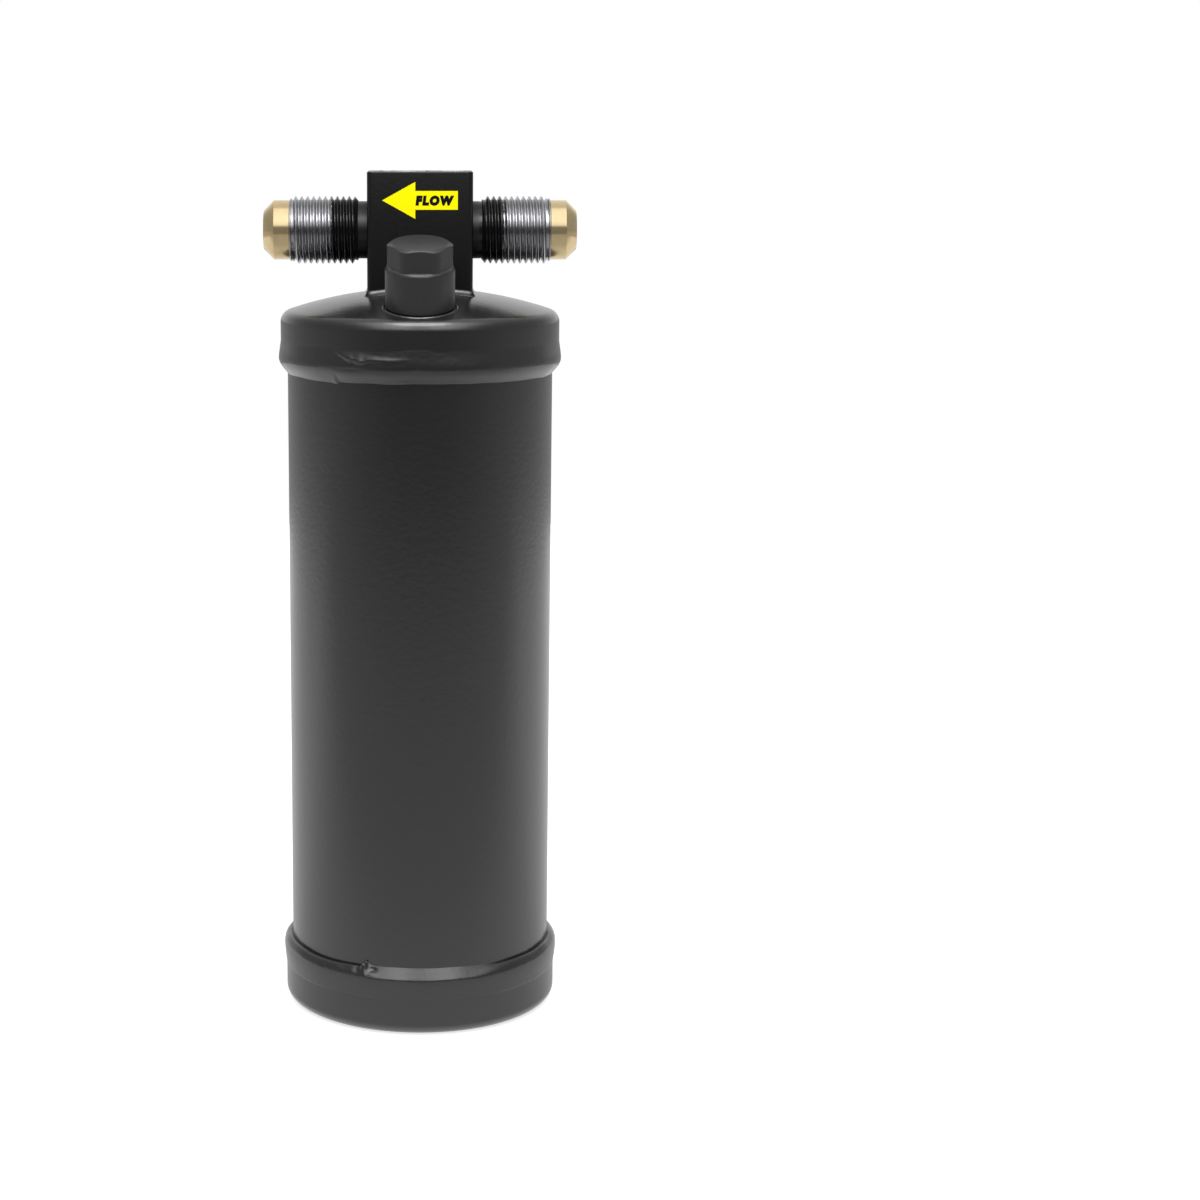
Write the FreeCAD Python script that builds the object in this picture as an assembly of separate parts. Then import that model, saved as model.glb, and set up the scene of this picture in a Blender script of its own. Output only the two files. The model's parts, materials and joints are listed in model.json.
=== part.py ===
import FreeCAD
import Part
import math
import os

# Receiver and filter drier for a vehicle air conditioner, in millimetres.
# A steel can stands on its flat base, centred on the origin, with +Z up.
# Refrigerant enters at +X, drops through the block into the can, passes down
# through the pack, and rises in the pickup tube to leave at -X.
# Front is -Y.

# Shell: a tube with a drawn head slipped over each end
tube_diameter = 63.5
tube_wall = 1.6
tube_length = 162.6
tube_end_gap = 1.2         # from a tube end to where the head starts to curve
head_wall = 1.55
head_slip = 0.05           # radial clearance of a head over the tube
base_corner = 2.8          # outside radius of the base's edge
knuckle_radius = 3.0       # outside radius between the skirt and the dome
crown_radius = 100.0       # outside radius of the dome
bottom_lap = 6.6           # how far each head reaches over the tube
top_lap = 4.8
weld_on_head = 1.5         # where a weld bead ends on the head's skirt
weld_on_tube = 6.1         # where it ends on the tube
weld_crown = 0.52          # how far it stands proud of the skirt
weld_peak = 1.8            # height of its crown past the rim

# Header block, brazed on the crown of the dome
block_width = 24.9
block_depth = 18.0
block_height = 27.6        # from the top of the dome to the top of the block
block_corner = 1.3
block_edge = 0.3           # rounding of the top edges
port_height = 13.8         # port axis above the top of the dome
passage_diameter = 8.0
passage_wall = 1.2         # metal between the ends of the two blind passages
drop_diameter = 5.0        # two holes from the inlet passage into the can
drop_pitch = 7.2
fillet_leg = 1.5           # header weld: reach on the dome
fillet_rise = 0.9          # and height up the block

# Side ports: nipples with 5/8-18 threads, and brass noses pressed into them
thread_diameter = 15.875
thread_length = 16.15
thread_chamfer = 0.9
neck_diameter = 13.5
neck_length = 2.2
shank_diameter = 11.0      # brazed into the block
shank_length = 3.0
fit_gap = 0.05             # radial clearance of brazed, pressed and sliding fits
seat_gap = 0.1             # clearance at the floor of a counterbore
nose_diameter = 14.0
nose_length = 6.3
nose_chamfer = 2.45
nose_bore = 6.5
nose_shank_diameter = 10.0
nose_shank_length = 7.9

# Sight glass in the block's top, over the outlet passage
sight_offset = 3.7         # towards the outlet
spotface_diameter = 12.5
spotface_depth = 0.5
ring_diameter = 10.5
ring_window = 6.8
ring_height = 3.1
ring_proud = 0.1
ring_chamfer = 0.35
glass_thickness = 2.5
glass_seal_section = 1.5
glass_seal_squeeze = 0.2
view_bore = 6.5

# Pickup tube and its strainer
pickup_diameter = 8.0
pickup_wall = 0.8
pickup_socket = 8.4        # depth of the tube in the block, from the top of the dome
pickup_lift = 10.0         # open end above the base
collar_diameter = 11.0     # brazed collar that carries the pack
collar_height = 1.6
strainer_diameter = 14.0
strainer_wall = 0.6
strainer_length = 15.0
strainer_floor = 2.4       # floor of the strainer below the tube's end
strainer_crimp = 4.0
strainer_slots = 6
slot_width = 2.0
slot_length = 9.0

# Pack: plate, felt, desiccant, felt, plate, and a spring up to the dome
pack_clearance = 0.15      # of plates, felts and filling to the tube
pack_lift = 44.0           # underside of the lower plate above the base
plate_thickness = 1.2
plate_rim = 5.0
pad_thickness = 8.0
upper_pad_thickness = 6.0
desiccant_height = 74.0
plate_holes = 8
plate_hole = 9.0
plate_hole_circle = 34.0   # diameter of the ring of holes
spring_wire = 2.2          # round wire, modelled with flats
spring_wire_sides = 8
spring_diameter = 40.0     # mean diameter of the coil
spring_turns = 2.5

# Service ports on the dome: 7/16-20 stubs with sprung cores, under screw caps
service_inset = 10.55      # where a port's axis meets the dome, in from the skirt
service_thread = 11.11
service_pitch = 1.27       # the stub's thread runs out in a relief one pitch wide
boss_length = 10.6
boss_flange = 12.6
boss_flange_height = 1.3
boss_spigot = 9.0
boss_spigot_reach = 1.0    # past the inside of the dome
boss_relief_depth = 0.65
boss_chamfer = 0.6
core_bore = 5.3
core_seat = 4.2
core_head_length = 3.4
core_recess = 1.0          # top of the core below the top of the stub
barrel_diameter = 3.5
barrel_length = 5.4
pin_diameter = 1.4
pin_tip_recess = 0.3
pin_travel = 1.2           # how far a pin can be pressed
pin_collar_diameter = 2.84
pin_collar_height = 0.6
pin_disc_diameter = 3.0
pin_disc_thickness = 1.0
pin_spring_pocket = 3.0
pin_spring_slack = 1.2     # length left between the coils when the pin is fully pressed
pin_spring_diameter = 2.2
pin_spring_wire = 0.3      # square wire
pin_spring_wire_sides = 4
pin_spring_turns = 3.0

# Service caps
cap_diameter = 16.25
cap_length = 15.2
cap_skirt = 9.4
cap_sides = 6              # of the cap's hexagon
cap_flats = 13.8
cap_chamfer_drop = 0.9     # of the hexagon's chamfered corners
cap_chamfer_angle = 30.0
cap_lip = 0.35             # rounding of the skirt's lower edge
cap_mouth = 14.7           # counterbore over the stub's flange
cap_mouth_depth = 2.2
cap_dome_gap = 0.15
cap_thread_gap = 0.045
cap_ceiling_gap = 0.05
cap_seal_thickness = 1.2
cap_seal_bore = 6.0
service_weld_width = 0.8

# Places that follow from the sizes above
tube_radius = tube_diameter / 2
tube_inside = tube_radius - tube_wall
head_inside = tube_radius + head_slip
head_outside = head_inside + head_wall
tube_bottom = base_corner + tube_end_gap
tube_top = tube_bottom + tube_length
bottom_rim = tube_bottom + bottom_lap
top_rim = tube_top - top_lap
knuckle_height = tube_top + tube_end_gap
knuckle_centre = head_outside - knuckle_radius
crown_centre = knuckle_height - math.sqrt((crown_radius - knuckle_radius) ** 2 - knuckle_centre ** 2)
crown_top = crown_centre + crown_radius
block_top = crown_top + block_height
port_z = crown_top + port_height
pickup_top = crown_top + pickup_socket
pack_inside = tube_inside - pack_clearance
plate_top = pack_lift + plate_thickness
desiccant_bottom = plate_top + pad_thickness
desiccant_top = desiccant_bottom + desiccant_height
upper_plate_bottom = desiccant_top + upper_pad_thickness
pack_top = upper_plate_bottom + plate_thickness
service_radius = head_outside - service_inset
pin_top = boss_length - pin_tip_recess
core_top = boss_length - core_recess
core_shoulder = core_top - core_head_length
barrel_bottom = core_shoulder - barrel_length
pin_spring_solid = (pin_spring_turns + 1) * pin_spring_wire
pocket_floor = core_top - pin_collar_height - pin_travel - pin_spring_solid - pin_spring_slack

centre = FreeCAD.Vector(0, 0, 0)
up = FreeCAD.Vector(0, 0, 1)
right = FreeCAD.Vector(1, 0, 0)
left = FreeCAD.Vector(-1, 0, 0)


def cylinder(radius, low, high, x=0.0, y=0.0):
    return Part.makeCylinder(radius, high - low, FreeCAD.Vector(x, y, low), up)


def turned(outline):
    """Revolves a closed outline of (radius, height) points round Z."""
    points = [FreeCAD.Vector(r, 0, z) for r, z in outline]
    face = Part.Face(Part.makePolygon(points + points[:1]))
    return face.revolve(centre, up, 360)


def turned_edges(edges):
    """Revolves a closed run of edges in the XZ plane round Z."""
    face = Part.Face(Part.Wire(edges))
    return face.revolve(centre, up, 360)


def line(start, end):
    return Part.LineSegment(FreeCAD.Vector(start[0], 0, start[1]),
                            FreeCAD.Vector(end[0], 0, end[1])).toShape()


def arc(start, middle, end):
    places = [FreeCAD.Vector(r, 0, z) for r, z in (start, middle, end)]
    return Part.Arc(*places).toShape()


def arc_round(middle, radius, start_angle, end_angle):
    """An arc about a centre in the XZ plane, with angles in degrees from +X towards +Z."""
    places = []
    for angle in (start_angle, (start_angle + end_angle) / 2, end_angle):
        turn = math.radians(angle)
        places.append((middle[0] + radius * math.cos(turn), middle[1] + radius * math.sin(turn)))
    return arc(*places)


def along(shape, place, direction):
    """Stands a shape that was made along +Z at a place, along a direction."""
    moved = shape.copy()
    turn = FreeCAD.Placement(place, FreeCAD.Rotation(up, direction))
    moved.Placement = turn.multiply(shape.Placement)
    return moved


def rounded_rectangle(width, depth, corner, height):
    """A closed wire with rounded corners, centred on the Z axis."""
    x = width / 2
    y = depth / 2
    edges = []
    for turn, far, near in ((0, x, y), (90, y, x), (180, x, y), (270, y, x)):
        side = Part.LineSegment(FreeCAD.Vector(far, corner - near, height),
                                FreeCAD.Vector(far, near - corner, height)).toShape()
        bend = Part.makeCircle(corner, FreeCAD.Vector(far - corner, near - corner, height), up, 0, 90)
        for edge in (side, bend):
            edge.rotate(centre, up, turn)
            edges.append(edge)
    return Part.Wire(edges)


def crown_ball(radius):
    return Part.makeSphere(radius, FreeCAD.Vector(0, 0, crown_centre))


def shell_tube():
    ring = [(tube_inside, tube_bottom), (tube_radius, tube_bottom),
            (tube_radius, tube_top), (tube_inside, tube_top)]
    return turned(ring)


def bottom_head():
    bend = head_outside - base_corner
    inner = base_corner - head_wall
    edges = [
        line((0, 0), (bend, 0)),
        arc_round((bend, base_corner), base_corner, -90, 0),
        line((head_outside, base_corner), (head_outside, bottom_rim)),
        line((head_outside, bottom_rim), (head_inside, bottom_rim)),
        line((head_inside, bottom_rim), (head_inside, base_corner)),
        arc_round((bend, base_corner), inner, 0, -90),
        line((bend, head_wall), (0, head_wall)),
        line((0, head_wall), (0, 0)),
    ]
    return turned_edges(edges)


def top_head():
    """The dome, with holes for the pickup tube, the inlet drops and the service stubs."""
    lean = math.degrees(math.acos(knuckle_centre / (crown_radius - knuckle_radius)))
    outer = knuckle_radius
    inner = knuckle_radius - head_wall
    middle = (knuckle_centre, knuckle_height)
    inside_crown = crown_radius - head_wall
    edges = [
        line((head_inside, top_rim), (head_outside, top_rim)),
        line((head_outside, top_rim), (head_outside, knuckle_height)),
        arc_round(middle, outer, 0, lean),
        arc_round((0, crown_centre), crown_radius, lean, 90),
        line((0, crown_top), (0, crown_top - head_wall)),
        arc_round((0, crown_centre), inside_crown, 90, lean),
        arc_round(middle, inner, lean, 0),
        line((head_inside, knuckle_height), (head_inside, top_rim)),
    ]
    dome = turned_edges(edges)
    low = crown_top - pickup_socket
    holes = [cylinder(pickup_diameter / 2 + fit_gap, low, block_top)]
    for side in (-1, 1):
        holes.append(cylinder(drop_diameter / 2, low, block_top, drop_offset(), side * drop_pitch / 2))
    for side in (-1, 1):
        stub_hole = cylinder(boss_spigot / 2 + fit_gap, -boss_length, boss_length)
        holes.append(service_place(stub_hole, side))
    for hole in holes:
        dome = dome.cut(hole)
    return dome


def drop_offset():
    """Distance of the inlet drops from the block's middle: halfway from the tube to the nipple."""
    return (pickup_diameter / 2 + block_width / 2 - shank_length) / 2


def weld_bead(rim, way):
    """A round bead over a head's rim; way is +1 where the tube is above the rim."""
    head_end = (head_outside, rim - way * weld_on_head)
    crest = (head_outside + weld_crown, rim + way * weld_peak)
    tube_end = (tube_radius, rim + way * weld_on_tube)
    edges = [
        arc(head_end, crest, tube_end),
        line(tube_end, (tube_radius, rim)),
        line((tube_radius, rim), (head_outside, rim)),
        line((head_outside, rim), head_end),
    ]
    return turned_edges(edges)


def header_block():
    low = crown_centre + math.sqrt(crown_radius ** 2 - (block_width ** 2 + block_depth ** 2) / 4)
    outline = rounded_rectangle(block_width, block_depth, block_corner, low)
    body = Part.Face(outline).extrude(up * (block_top - low))
    top_edges = [edge for edge in body.Edges if edge.BoundBox.ZMin > block_top - block_edge / 2]
    body = body.makeFillet(block_edge, top_edges)
    body = body.cut(crown_ball(crown_radius))

    reach = block_width / 2
    outlet_end = pickup_diameter / 2
    cuts = []
    for way, start in ((right, outlet_end + passage_wall), (left, -outlet_end)):
        passage = Part.makeCylinder(passage_diameter / 2, reach - start)
        cuts.append(along(passage, FreeCAD.Vector(0, 0, port_z) + way * start, way))
        socket = Part.makeCylinder(shank_diameter / 2 + fit_gap, shank_length + seat_gap)
        floor = reach - shank_length - seat_gap
        cuts.append(along(socket, FreeCAD.Vector(0, 0, port_z) + way * floor, way))

    cuts.append(cylinder(pickup_diameter / 2 + fit_gap, low, pickup_top))
    cuts.append(cylinder(pickup_diameter / 2 - pickup_wall, low, port_z))
    for side in (-1, 1):
        cuts.append(cylinder(drop_diameter / 2, low, port_z, drop_offset(), side * drop_pitch / 2))

    seat = sight_seat()
    cuts.append(cylinder(view_bore / 2, port_z, block_top, -sight_offset))
    cuts.append(cylinder(ring_diameter / 2 + fit_gap, seat, block_top, -sight_offset))
    cuts.append(cylinder(spotface_diameter / 2, block_top - spotface_depth, block_top, -sight_offset))
    for cut in cuts:
        body = body.cut(cut)
    return body


def sight_seat():
    """Height of the ledge that the sight glass's seal lies on."""
    return (block_top + ring_proud - ring_height - glass_thickness
            - glass_seal_section + glass_seal_squeeze)


def header_weld():
    """A fillet round the block's foot, deeper at the corners, where the dome falls away."""
    foot_drop = crown_radius - math.sqrt(crown_radius ** 2 - (block_width ** 2 + block_depth ** 2) / 4)
    low = crown_top - foot_drop - fillet_leg / 2
    high = crown_top + fillet_rise - foot_drop / 2
    wide = rounded_rectangle(block_width + 2 * fillet_leg, block_depth + 2 * fillet_leg,
                             block_corner + fillet_leg, low)
    narrow = rounded_rectangle(block_width + fit_gap, block_depth + fit_gap,
                               block_corner + fit_gap / 2, high)
    bead = Part.makeLoft([wide, narrow], True, True)
    outline = rounded_rectangle(block_width, block_depth, block_corner, low)
    inside = Part.Face(outline).extrude(up * (high - low))
    return bead.cut(inside).cut(crown_ball(crown_radius))


def side_fitting():
    """A nipple along +Z from the block's face, with its shank below zero."""
    shank = shank_diameter / 2
    crest = thread_diameter / 2
    end = neck_length + thread_length
    bore = passage_diameter / 2
    socket = nose_shank_diameter / 2 + fit_gap
    floor = end - nose_shank_length - seat_gap
    outline = [
        (bore, -shank_length), (shank, -shank_length), (shank, 0), (neck_diameter / 2, 0),
        (neck_diameter / 2, neck_length), (crest - thread_chamfer, neck_length),
        (crest, neck_length + thread_chamfer), (crest, end - thread_chamfer),
        (crest - thread_chamfer, end), (socket, end), (socket, floor), (bore, floor),
    ]
    return turned(outline)


def nose():
    """A brass nose along +Z, with its shoulder on the end of the nipple."""
    start = neck_length + thread_length
    end = start + nose_length
    radius = nose_diameter / 2
    shank = nose_shank_diameter / 2
    bore = nose_bore / 2
    outline = [
        (bore, start - nose_shank_length), (shank, start - nose_shank_length), (shank, start),
        (radius, start), (radius, end - nose_chamfer), (radius - nose_chamfer, end), (bore, end),
    ]
    return turned(outline)


def sight_glass_ring():
    top = block_top + ring_proud
    outside = ring_diameter / 2
    inside = ring_window / 2
    outline = [
        (inside, top - ring_height), (outside, top - ring_height), (outside, top - ring_chamfer),
        (outside - ring_chamfer, top), (inside + ring_chamfer, top), (inside, top - ring_chamfer),
    ]
    ring = turned(outline)
    ring.translate(FreeCAD.Vector(-sight_offset, 0, 0))
    return ring


def sight_glass():
    top = block_top + ring_proud - ring_height
    return cylinder(ring_diameter / 2, top - glass_thickness, top, -sight_offset)


def sight_glass_seal():
    """A ring squeezed between the glass and the ledge, with flats where it is pressed."""
    height = glass_seal_section - glass_seal_squeeze
    outside = ring_diameter / 2
    inside = outside - glass_seal_section
    seat = sight_seat()
    bulge = glass_seal_squeeze
    outline = [
        (inside + bulge, seat), (outside - bulge, seat), (outside, seat + height / 2),
        (outside - bulge, seat + height), (inside + bulge, seat + height), (inside, seat + height / 2),
    ]
    seal = turned(outline)
    seal.translate(FreeCAD.Vector(-sight_offset, 0, 0))
    return seal


def pickup_tube():
    """A tube with a collar under the pack."""
    outside = pickup_diameter / 2
    inside = outside - pickup_wall
    collar = collar_diameter / 2
    collar_bottom = pack_lift - collar_height
    return turned([
        (inside, pickup_lift), (outside, pickup_lift), (outside, collar_bottom),
        (collar, pack_lift - collar_height / 2), (collar, pack_lift), (outside, pack_lift),
        (outside, pickup_top), (inside, pickup_top)])


def strainer():
    """A thimble crimped on the tube's lower end, with a ring of slots."""
    outside = strainer_diameter / 2
    grip = pickup_diameter / 2 + fit_gap
    wall = strainer_wall
    floor = pickup_lift - strainer_floor
    shoulder = floor + strainer_length
    outline = [
        (0, floor), (outside, floor), (outside, shoulder), (grip + wall, shoulder + wall),
        (grip + wall, shoulder + strainer_crimp), (grip, shoulder + strainer_crimp), (grip, shoulder),
        (outside - wall, shoulder - wall), (outside - wall, floor + wall), (0, floor + wall),
    ]
    thimble = turned(outline)
    low = floor + (strainer_length - slot_length) / 2
    for index in range(strainer_slots):
        slot = Part.makeBox(strainer_diameter, slot_width, slot_length,
                            FreeCAD.Vector(outside - 2 * wall, -slot_width / 2, low))
        slot.rotate(centre, up, index * 360 / strainer_slots)
        thimble = thimble.cut(slot)
    return thimble


def perforated_plate(flat, way):
    """A plate whose flat face is at a height and whose rim turns down or up by way."""
    wall = plate_thickness
    outside = pack_inside
    hole = pickup_diameter / 2 + fit_gap
    back = flat + way * wall
    lip = flat + way * plate_rim
    outline = [(hole, flat), (outside, flat), (outside, lip), (outside - wall, lip),
               (outside - wall, back), (hole, back)]
    plate = turned(outline)
    low = min(flat, back)
    for index in range(plate_holes):
        turn = 2 * math.pi * index / plate_holes
        drill = cylinder(plate_hole / 2, low - wall, low + 2 * wall,
                         plate_hole_circle / 2 * math.cos(turn), plate_hole_circle / 2 * math.sin(turn))
        plate = plate.cut(drill)
    return plate


def pack_layer(low, high):
    """A felt or the filling: a plain ring round the pickup tube."""
    hole = pickup_diameter / 2 + fit_gap
    return turned([(hole, low), (pack_inside, low), (pack_inside, high), (hole, high)])


def coil(radius, low, high, turns, wire, sides):
    """A helical spring about Z; low and high are the wire's middle, and the wire has flat sides."""
    path = Part.makeHelix((high - low) / turns, high - low, radius)
    corners = []
    for index in range(sides):
        turn = math.pi * (2 * index + 1) / sides
        reach = wire / 2 / math.cos(math.pi / sides)
        corners.append(FreeCAD.Vector(radius + reach * math.cos(turn), 0, reach * math.sin(turn)))
    section = Part.makePolygon(corners + corners[:1])
    spring = Part.Wire(path.Edges).makePipeShell([section], True, True)
    spring.translate(FreeCAD.Vector(0, 0, low))
    return spring


def pack_spring():
    """From the upper plate to the inside of the dome."""
    radius = spring_diameter / 2
    wire = spring_wire / 2
    ceiling = crown_centre + math.sqrt((crown_radius - head_wall - wire) ** 2 - (radius + wire) ** 2)
    return coil(radius, pack_top + wire, ceiling, spring_turns, spring_wire, spring_wire_sides)


def service_direction(side):
    """The way a service port points: square to the dome; side is -1 at the front."""
    lean = service_radius / crown_radius
    return FreeCAD.Vector(0, side * lean, math.sqrt(1 - lean ** 2))


def service_place(shape, side):
    """Puts a shape that was made along +Z on the dome, in a service port's place."""
    direction = service_direction(side)
    place = FreeCAD.Vector(0, 0, crown_centre) + direction * crown_radius
    return along(shape, place, direction)


def local_crown():
    """The outside of the dome as a ball, seen from a service port's place."""
    return Part.makeSphere(crown_radius, FreeCAD.Vector(0, 0, -crown_radius))


def port_boss():
    """A threaded stub with a foot that follows the dome and a spigot through it."""
    thread = service_thread / 2
    relief = thread - boss_relief_depth
    relief_top = boss_flange_height + service_pitch
    flange = boss_flange / 2
    spigot = boss_spigot / 2
    spigot_low = -head_wall - boss_spigot_reach
    bore = core_bore / 2
    throat = core_seat / 2
    foot = turned([
        (throat, -boss_flange_height), (flange, -boss_flange_height), (flange, boss_flange_height),
        (throat, boss_flange_height)])
    foot = foot.cut(local_crown())
    stem = turned([
        (throat, spigot_low), (spigot, spigot_low), (spigot, boss_flange_height),
        (relief, boss_flange_height), (relief, relief_top), (thread, relief_top + boss_relief_depth),
        (thread, boss_length - boss_chamfer), (thread - boss_chamfer, boss_length),
        (bore, boss_length), (bore, core_shoulder - fit_gap), (throat, core_shoulder - bore + throat),
    ])
    return foot.fuse(stem).removeSplitter()


def port_weld():
    """A small fillet round the stub's flange."""
    flange = boss_flange / 2
    outside = flange + service_weld_width
    outline = [(flange, -service_weld_width), (outside, -service_weld_width), (outside, 0),
               (flange, service_weld_width)]
    return turned(outline).cut(local_crown())


def valve_core():
    """The core's body: a screwed head with a spring pocket, and a barrel for the pin."""
    head = core_bore / 2 - fit_gap
    barrel = barrel_diameter / 2
    guide = pin_diameter / 2 + fit_gap
    pocket = pin_spring_pocket / 2
    return turned([
        (guide, barrel_bottom), (barrel, barrel_bottom), (barrel, core_shoulder), (head, core_shoulder),
        (head, core_top), (pocket, core_top), (pocket, pocket_floor), (guide, pocket_floor)])


def valve_pin():
    """The pin, with a collar over its spring and a disc that closes the barrel."""
    stem = pin_diameter / 2
    collar = pin_collar_diameter / 2
    disc = pin_disc_diameter / 2
    collar_low = core_top - pin_collar_height
    disc_low = barrel_bottom - pin_disc_thickness
    return turned([
        (0, disc_low), (disc, disc_low), (disc, barrel_bottom), (stem, barrel_bottom),
        (stem, collar_low), (collar, collar_low), (collar, core_top), (stem, core_top),
        (stem, pin_top), (0, pin_top)])


def valve_spring():
    """A coil between the floor of the core's pocket and the pin's collar."""
    half = pin_spring_wire / 2
    low = pocket_floor + half
    high = core_top - pin_collar_height - half
    return coil(pin_spring_diameter / 2, low, high, pin_spring_turns, pin_spring_wire,
                pin_spring_wire_sides)


def cap_bottom():
    """Height of the skirt's mouth over the dome, measured on the port's axis."""
    mouth = cap_mouth / 2
    return math.sqrt(crown_radius ** 2 - mouth ** 2) - crown_radius + cap_dome_gap


def service_cap():
    """A screw cap: a round skirt, a hexagon with chamfered corners, and a blind bore."""
    bottom = cap_bottom()
    top = bottom + cap_length
    skirt_top = bottom + cap_skirt
    radius = cap_diameter / 2
    skirt = turned_edges([
        line((0, bottom), (radius - cap_lip, bottom)),
        arc_round((radius - cap_lip, bottom + cap_lip), cap_lip, -90, 0),
        line((radius, bottom + cap_lip), (radius, skirt_top)),
        line((radius, skirt_top), (0, skirt_top)),
        line((0, skirt_top), (0, bottom)),
    ])
    corner = cap_flats / 2 / math.cos(math.pi / cap_sides)
    points = []
    for index in range(cap_sides):
        turn = 2 * math.pi * index / cap_sides
        points.append(FreeCAD.Vector(corner * math.cos(turn), corner * math.sin(turn), skirt_top))
    hexagon = Part.Face(Part.makePolygon(points + points[:1])).extrude(up * (top - skirt_top))
    table = corner - cap_chamfer_drop / math.tan(math.radians(cap_chamfer_angle))
    envelope = turned([(0, skirt_top), (corner, skirt_top), (corner, top - cap_chamfer_drop),
                       (table, top), (0, top)])
    cap = skirt.fuse(hexagon.common(envelope))

    bore = service_thread / 2 + cap_thread_gap
    ceiling = boss_length + 2 * cap_ceiling_gap + cap_seal_thickness
    cap = cap.cut(cylinder(bore, bottom, ceiling))
    cap = cap.cut(cylinder(cap_mouth / 2, bottom, bottom + cap_mouth_depth))
    return cap.removeSplitter()


def cap_seal():
    low = boss_length + cap_ceiling_gap
    outside = service_thread / 2 - fit_gap
    inside = cap_seal_bore / 2
    high = low + cap_seal_thickness
    return turned([(inside, low), (outside, low), (outside, high), (inside, high)])


parts = {
    "shell_tube": shell_tube(),
    "bottom_head": bottom_head(),
    "top_head": top_head(),
    "bottom_weld": weld_bead(bottom_rim, 1),
    "top_weld": weld_bead(top_rim, -1),
    "header_block": header_block(),
    "header_weld": header_weld(),
    "sight_glass_ring": sight_glass_ring(),
    "sight_glass": sight_glass(),
    "sight_glass_seal": sight_glass_seal(),
    "pickup_tube": pickup_tube(),
    "strainer": strainer(),
    "lower_plate": perforated_plate(plate_top, -1),
    "upper_plate": perforated_plate(upper_plate_bottom, 1),
    "lower_pad": pack_layer(plate_top, desiccant_bottom),
    "upper_pad": pack_layer(desiccant_top, upper_plate_bottom),
    "desiccant": pack_layer(desiccant_bottom, desiccant_top),
    "pack_spring": pack_spring(),
}

for name, way in (("inlet", right), ("outlet", left)):
    face = FreeCAD.Vector(0, 0, port_z) + way * (block_width / 2)
    parts[name + "_fitting"] = along(side_fitting(), face, way)
    parts[name + "_nose"] = along(nose(), face, way)

for name, side in (("front", -1), ("rear", 1)):
    pieces = {"port_boss": port_boss(), "port_weld": port_weld(), "valve_core": valve_core(),
              "valve_pin": valve_pin(), "valve_spring": valve_spring(),
              "cap": service_cap(), "cap_seal": cap_seal()}
    for piece, shape in pieces.items():
        parts[name + "_" + piece] = service_place(shape, side)

os.makedirs("parts", exist_ok=True)
for name, shape in parts.items():
    if len(shape.Solids) != 1 or not shape.isValid():
        raise ValueError(name + " is not one sound solid")
    shape.Solids[0].exportStep("parts/" + name + ".step")
print(len(parts), "pieces, overall height", round(block_top + ring_proud, 2))
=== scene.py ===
import json
import math

import bpy
from mathutils import Matrix, Vector, noise


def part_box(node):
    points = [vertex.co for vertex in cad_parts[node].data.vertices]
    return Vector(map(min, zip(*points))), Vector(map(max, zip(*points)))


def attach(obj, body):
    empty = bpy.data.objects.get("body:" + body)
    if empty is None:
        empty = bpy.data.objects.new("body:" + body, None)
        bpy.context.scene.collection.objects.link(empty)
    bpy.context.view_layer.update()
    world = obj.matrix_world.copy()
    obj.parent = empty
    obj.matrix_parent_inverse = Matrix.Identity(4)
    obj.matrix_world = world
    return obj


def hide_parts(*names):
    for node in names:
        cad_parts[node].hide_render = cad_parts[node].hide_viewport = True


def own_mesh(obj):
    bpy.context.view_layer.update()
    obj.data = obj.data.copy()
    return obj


# Looks of a receiver and filter drier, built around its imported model.
# The scene is in metres, +Z up, front at -Y. Pieces are measured in millimetres;
# the camera, the lights and the finishes in metres.

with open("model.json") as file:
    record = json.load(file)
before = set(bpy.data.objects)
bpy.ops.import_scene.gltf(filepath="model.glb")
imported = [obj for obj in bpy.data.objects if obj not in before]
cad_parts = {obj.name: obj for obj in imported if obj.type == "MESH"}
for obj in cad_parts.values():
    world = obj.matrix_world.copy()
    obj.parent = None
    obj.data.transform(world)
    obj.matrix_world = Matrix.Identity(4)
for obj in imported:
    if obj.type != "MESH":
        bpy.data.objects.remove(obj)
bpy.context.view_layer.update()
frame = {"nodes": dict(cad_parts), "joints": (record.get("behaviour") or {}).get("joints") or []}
mm = 0.001
tiny = 0.000002  # points nearer than this are one point
materials = {}


def nodeHeights(node):
    low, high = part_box(node)
    return low.z / mm, high.z / mm


# ---- camera and light ----

photo = {
    "width": 1200,         # of the photograph, in pixels
    "objectColumn": 420,   # where the can's axis stands in it
    "place": (0, -0.5992, 0.2141),
    "target": (0, 0, 0.0998),
    "lens": 74.79,
    "sensor": 36.0,
}


def makeCamera():
    data = bpy.data.cameras.new("camera")
    data.lens = photo["lens"]
    data.sensor_width = photo["sensor"]
    data.shift_x = (photo["width"] / 2 - photo["objectColumn"]) / photo["width"]
    camera = bpy.data.objects.new("camera", data)
    bpy.context.scene.collection.objects.link(camera)
    camera.location = photo["place"]
    look = Vector(photo["target"]) - Vector(photo["place"])
    camera.rotation_euler = look.to_track_quat("-Z", "Y").to_euler()
    bpy.context.scene.camera = camera
    print("camera placed")


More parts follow.
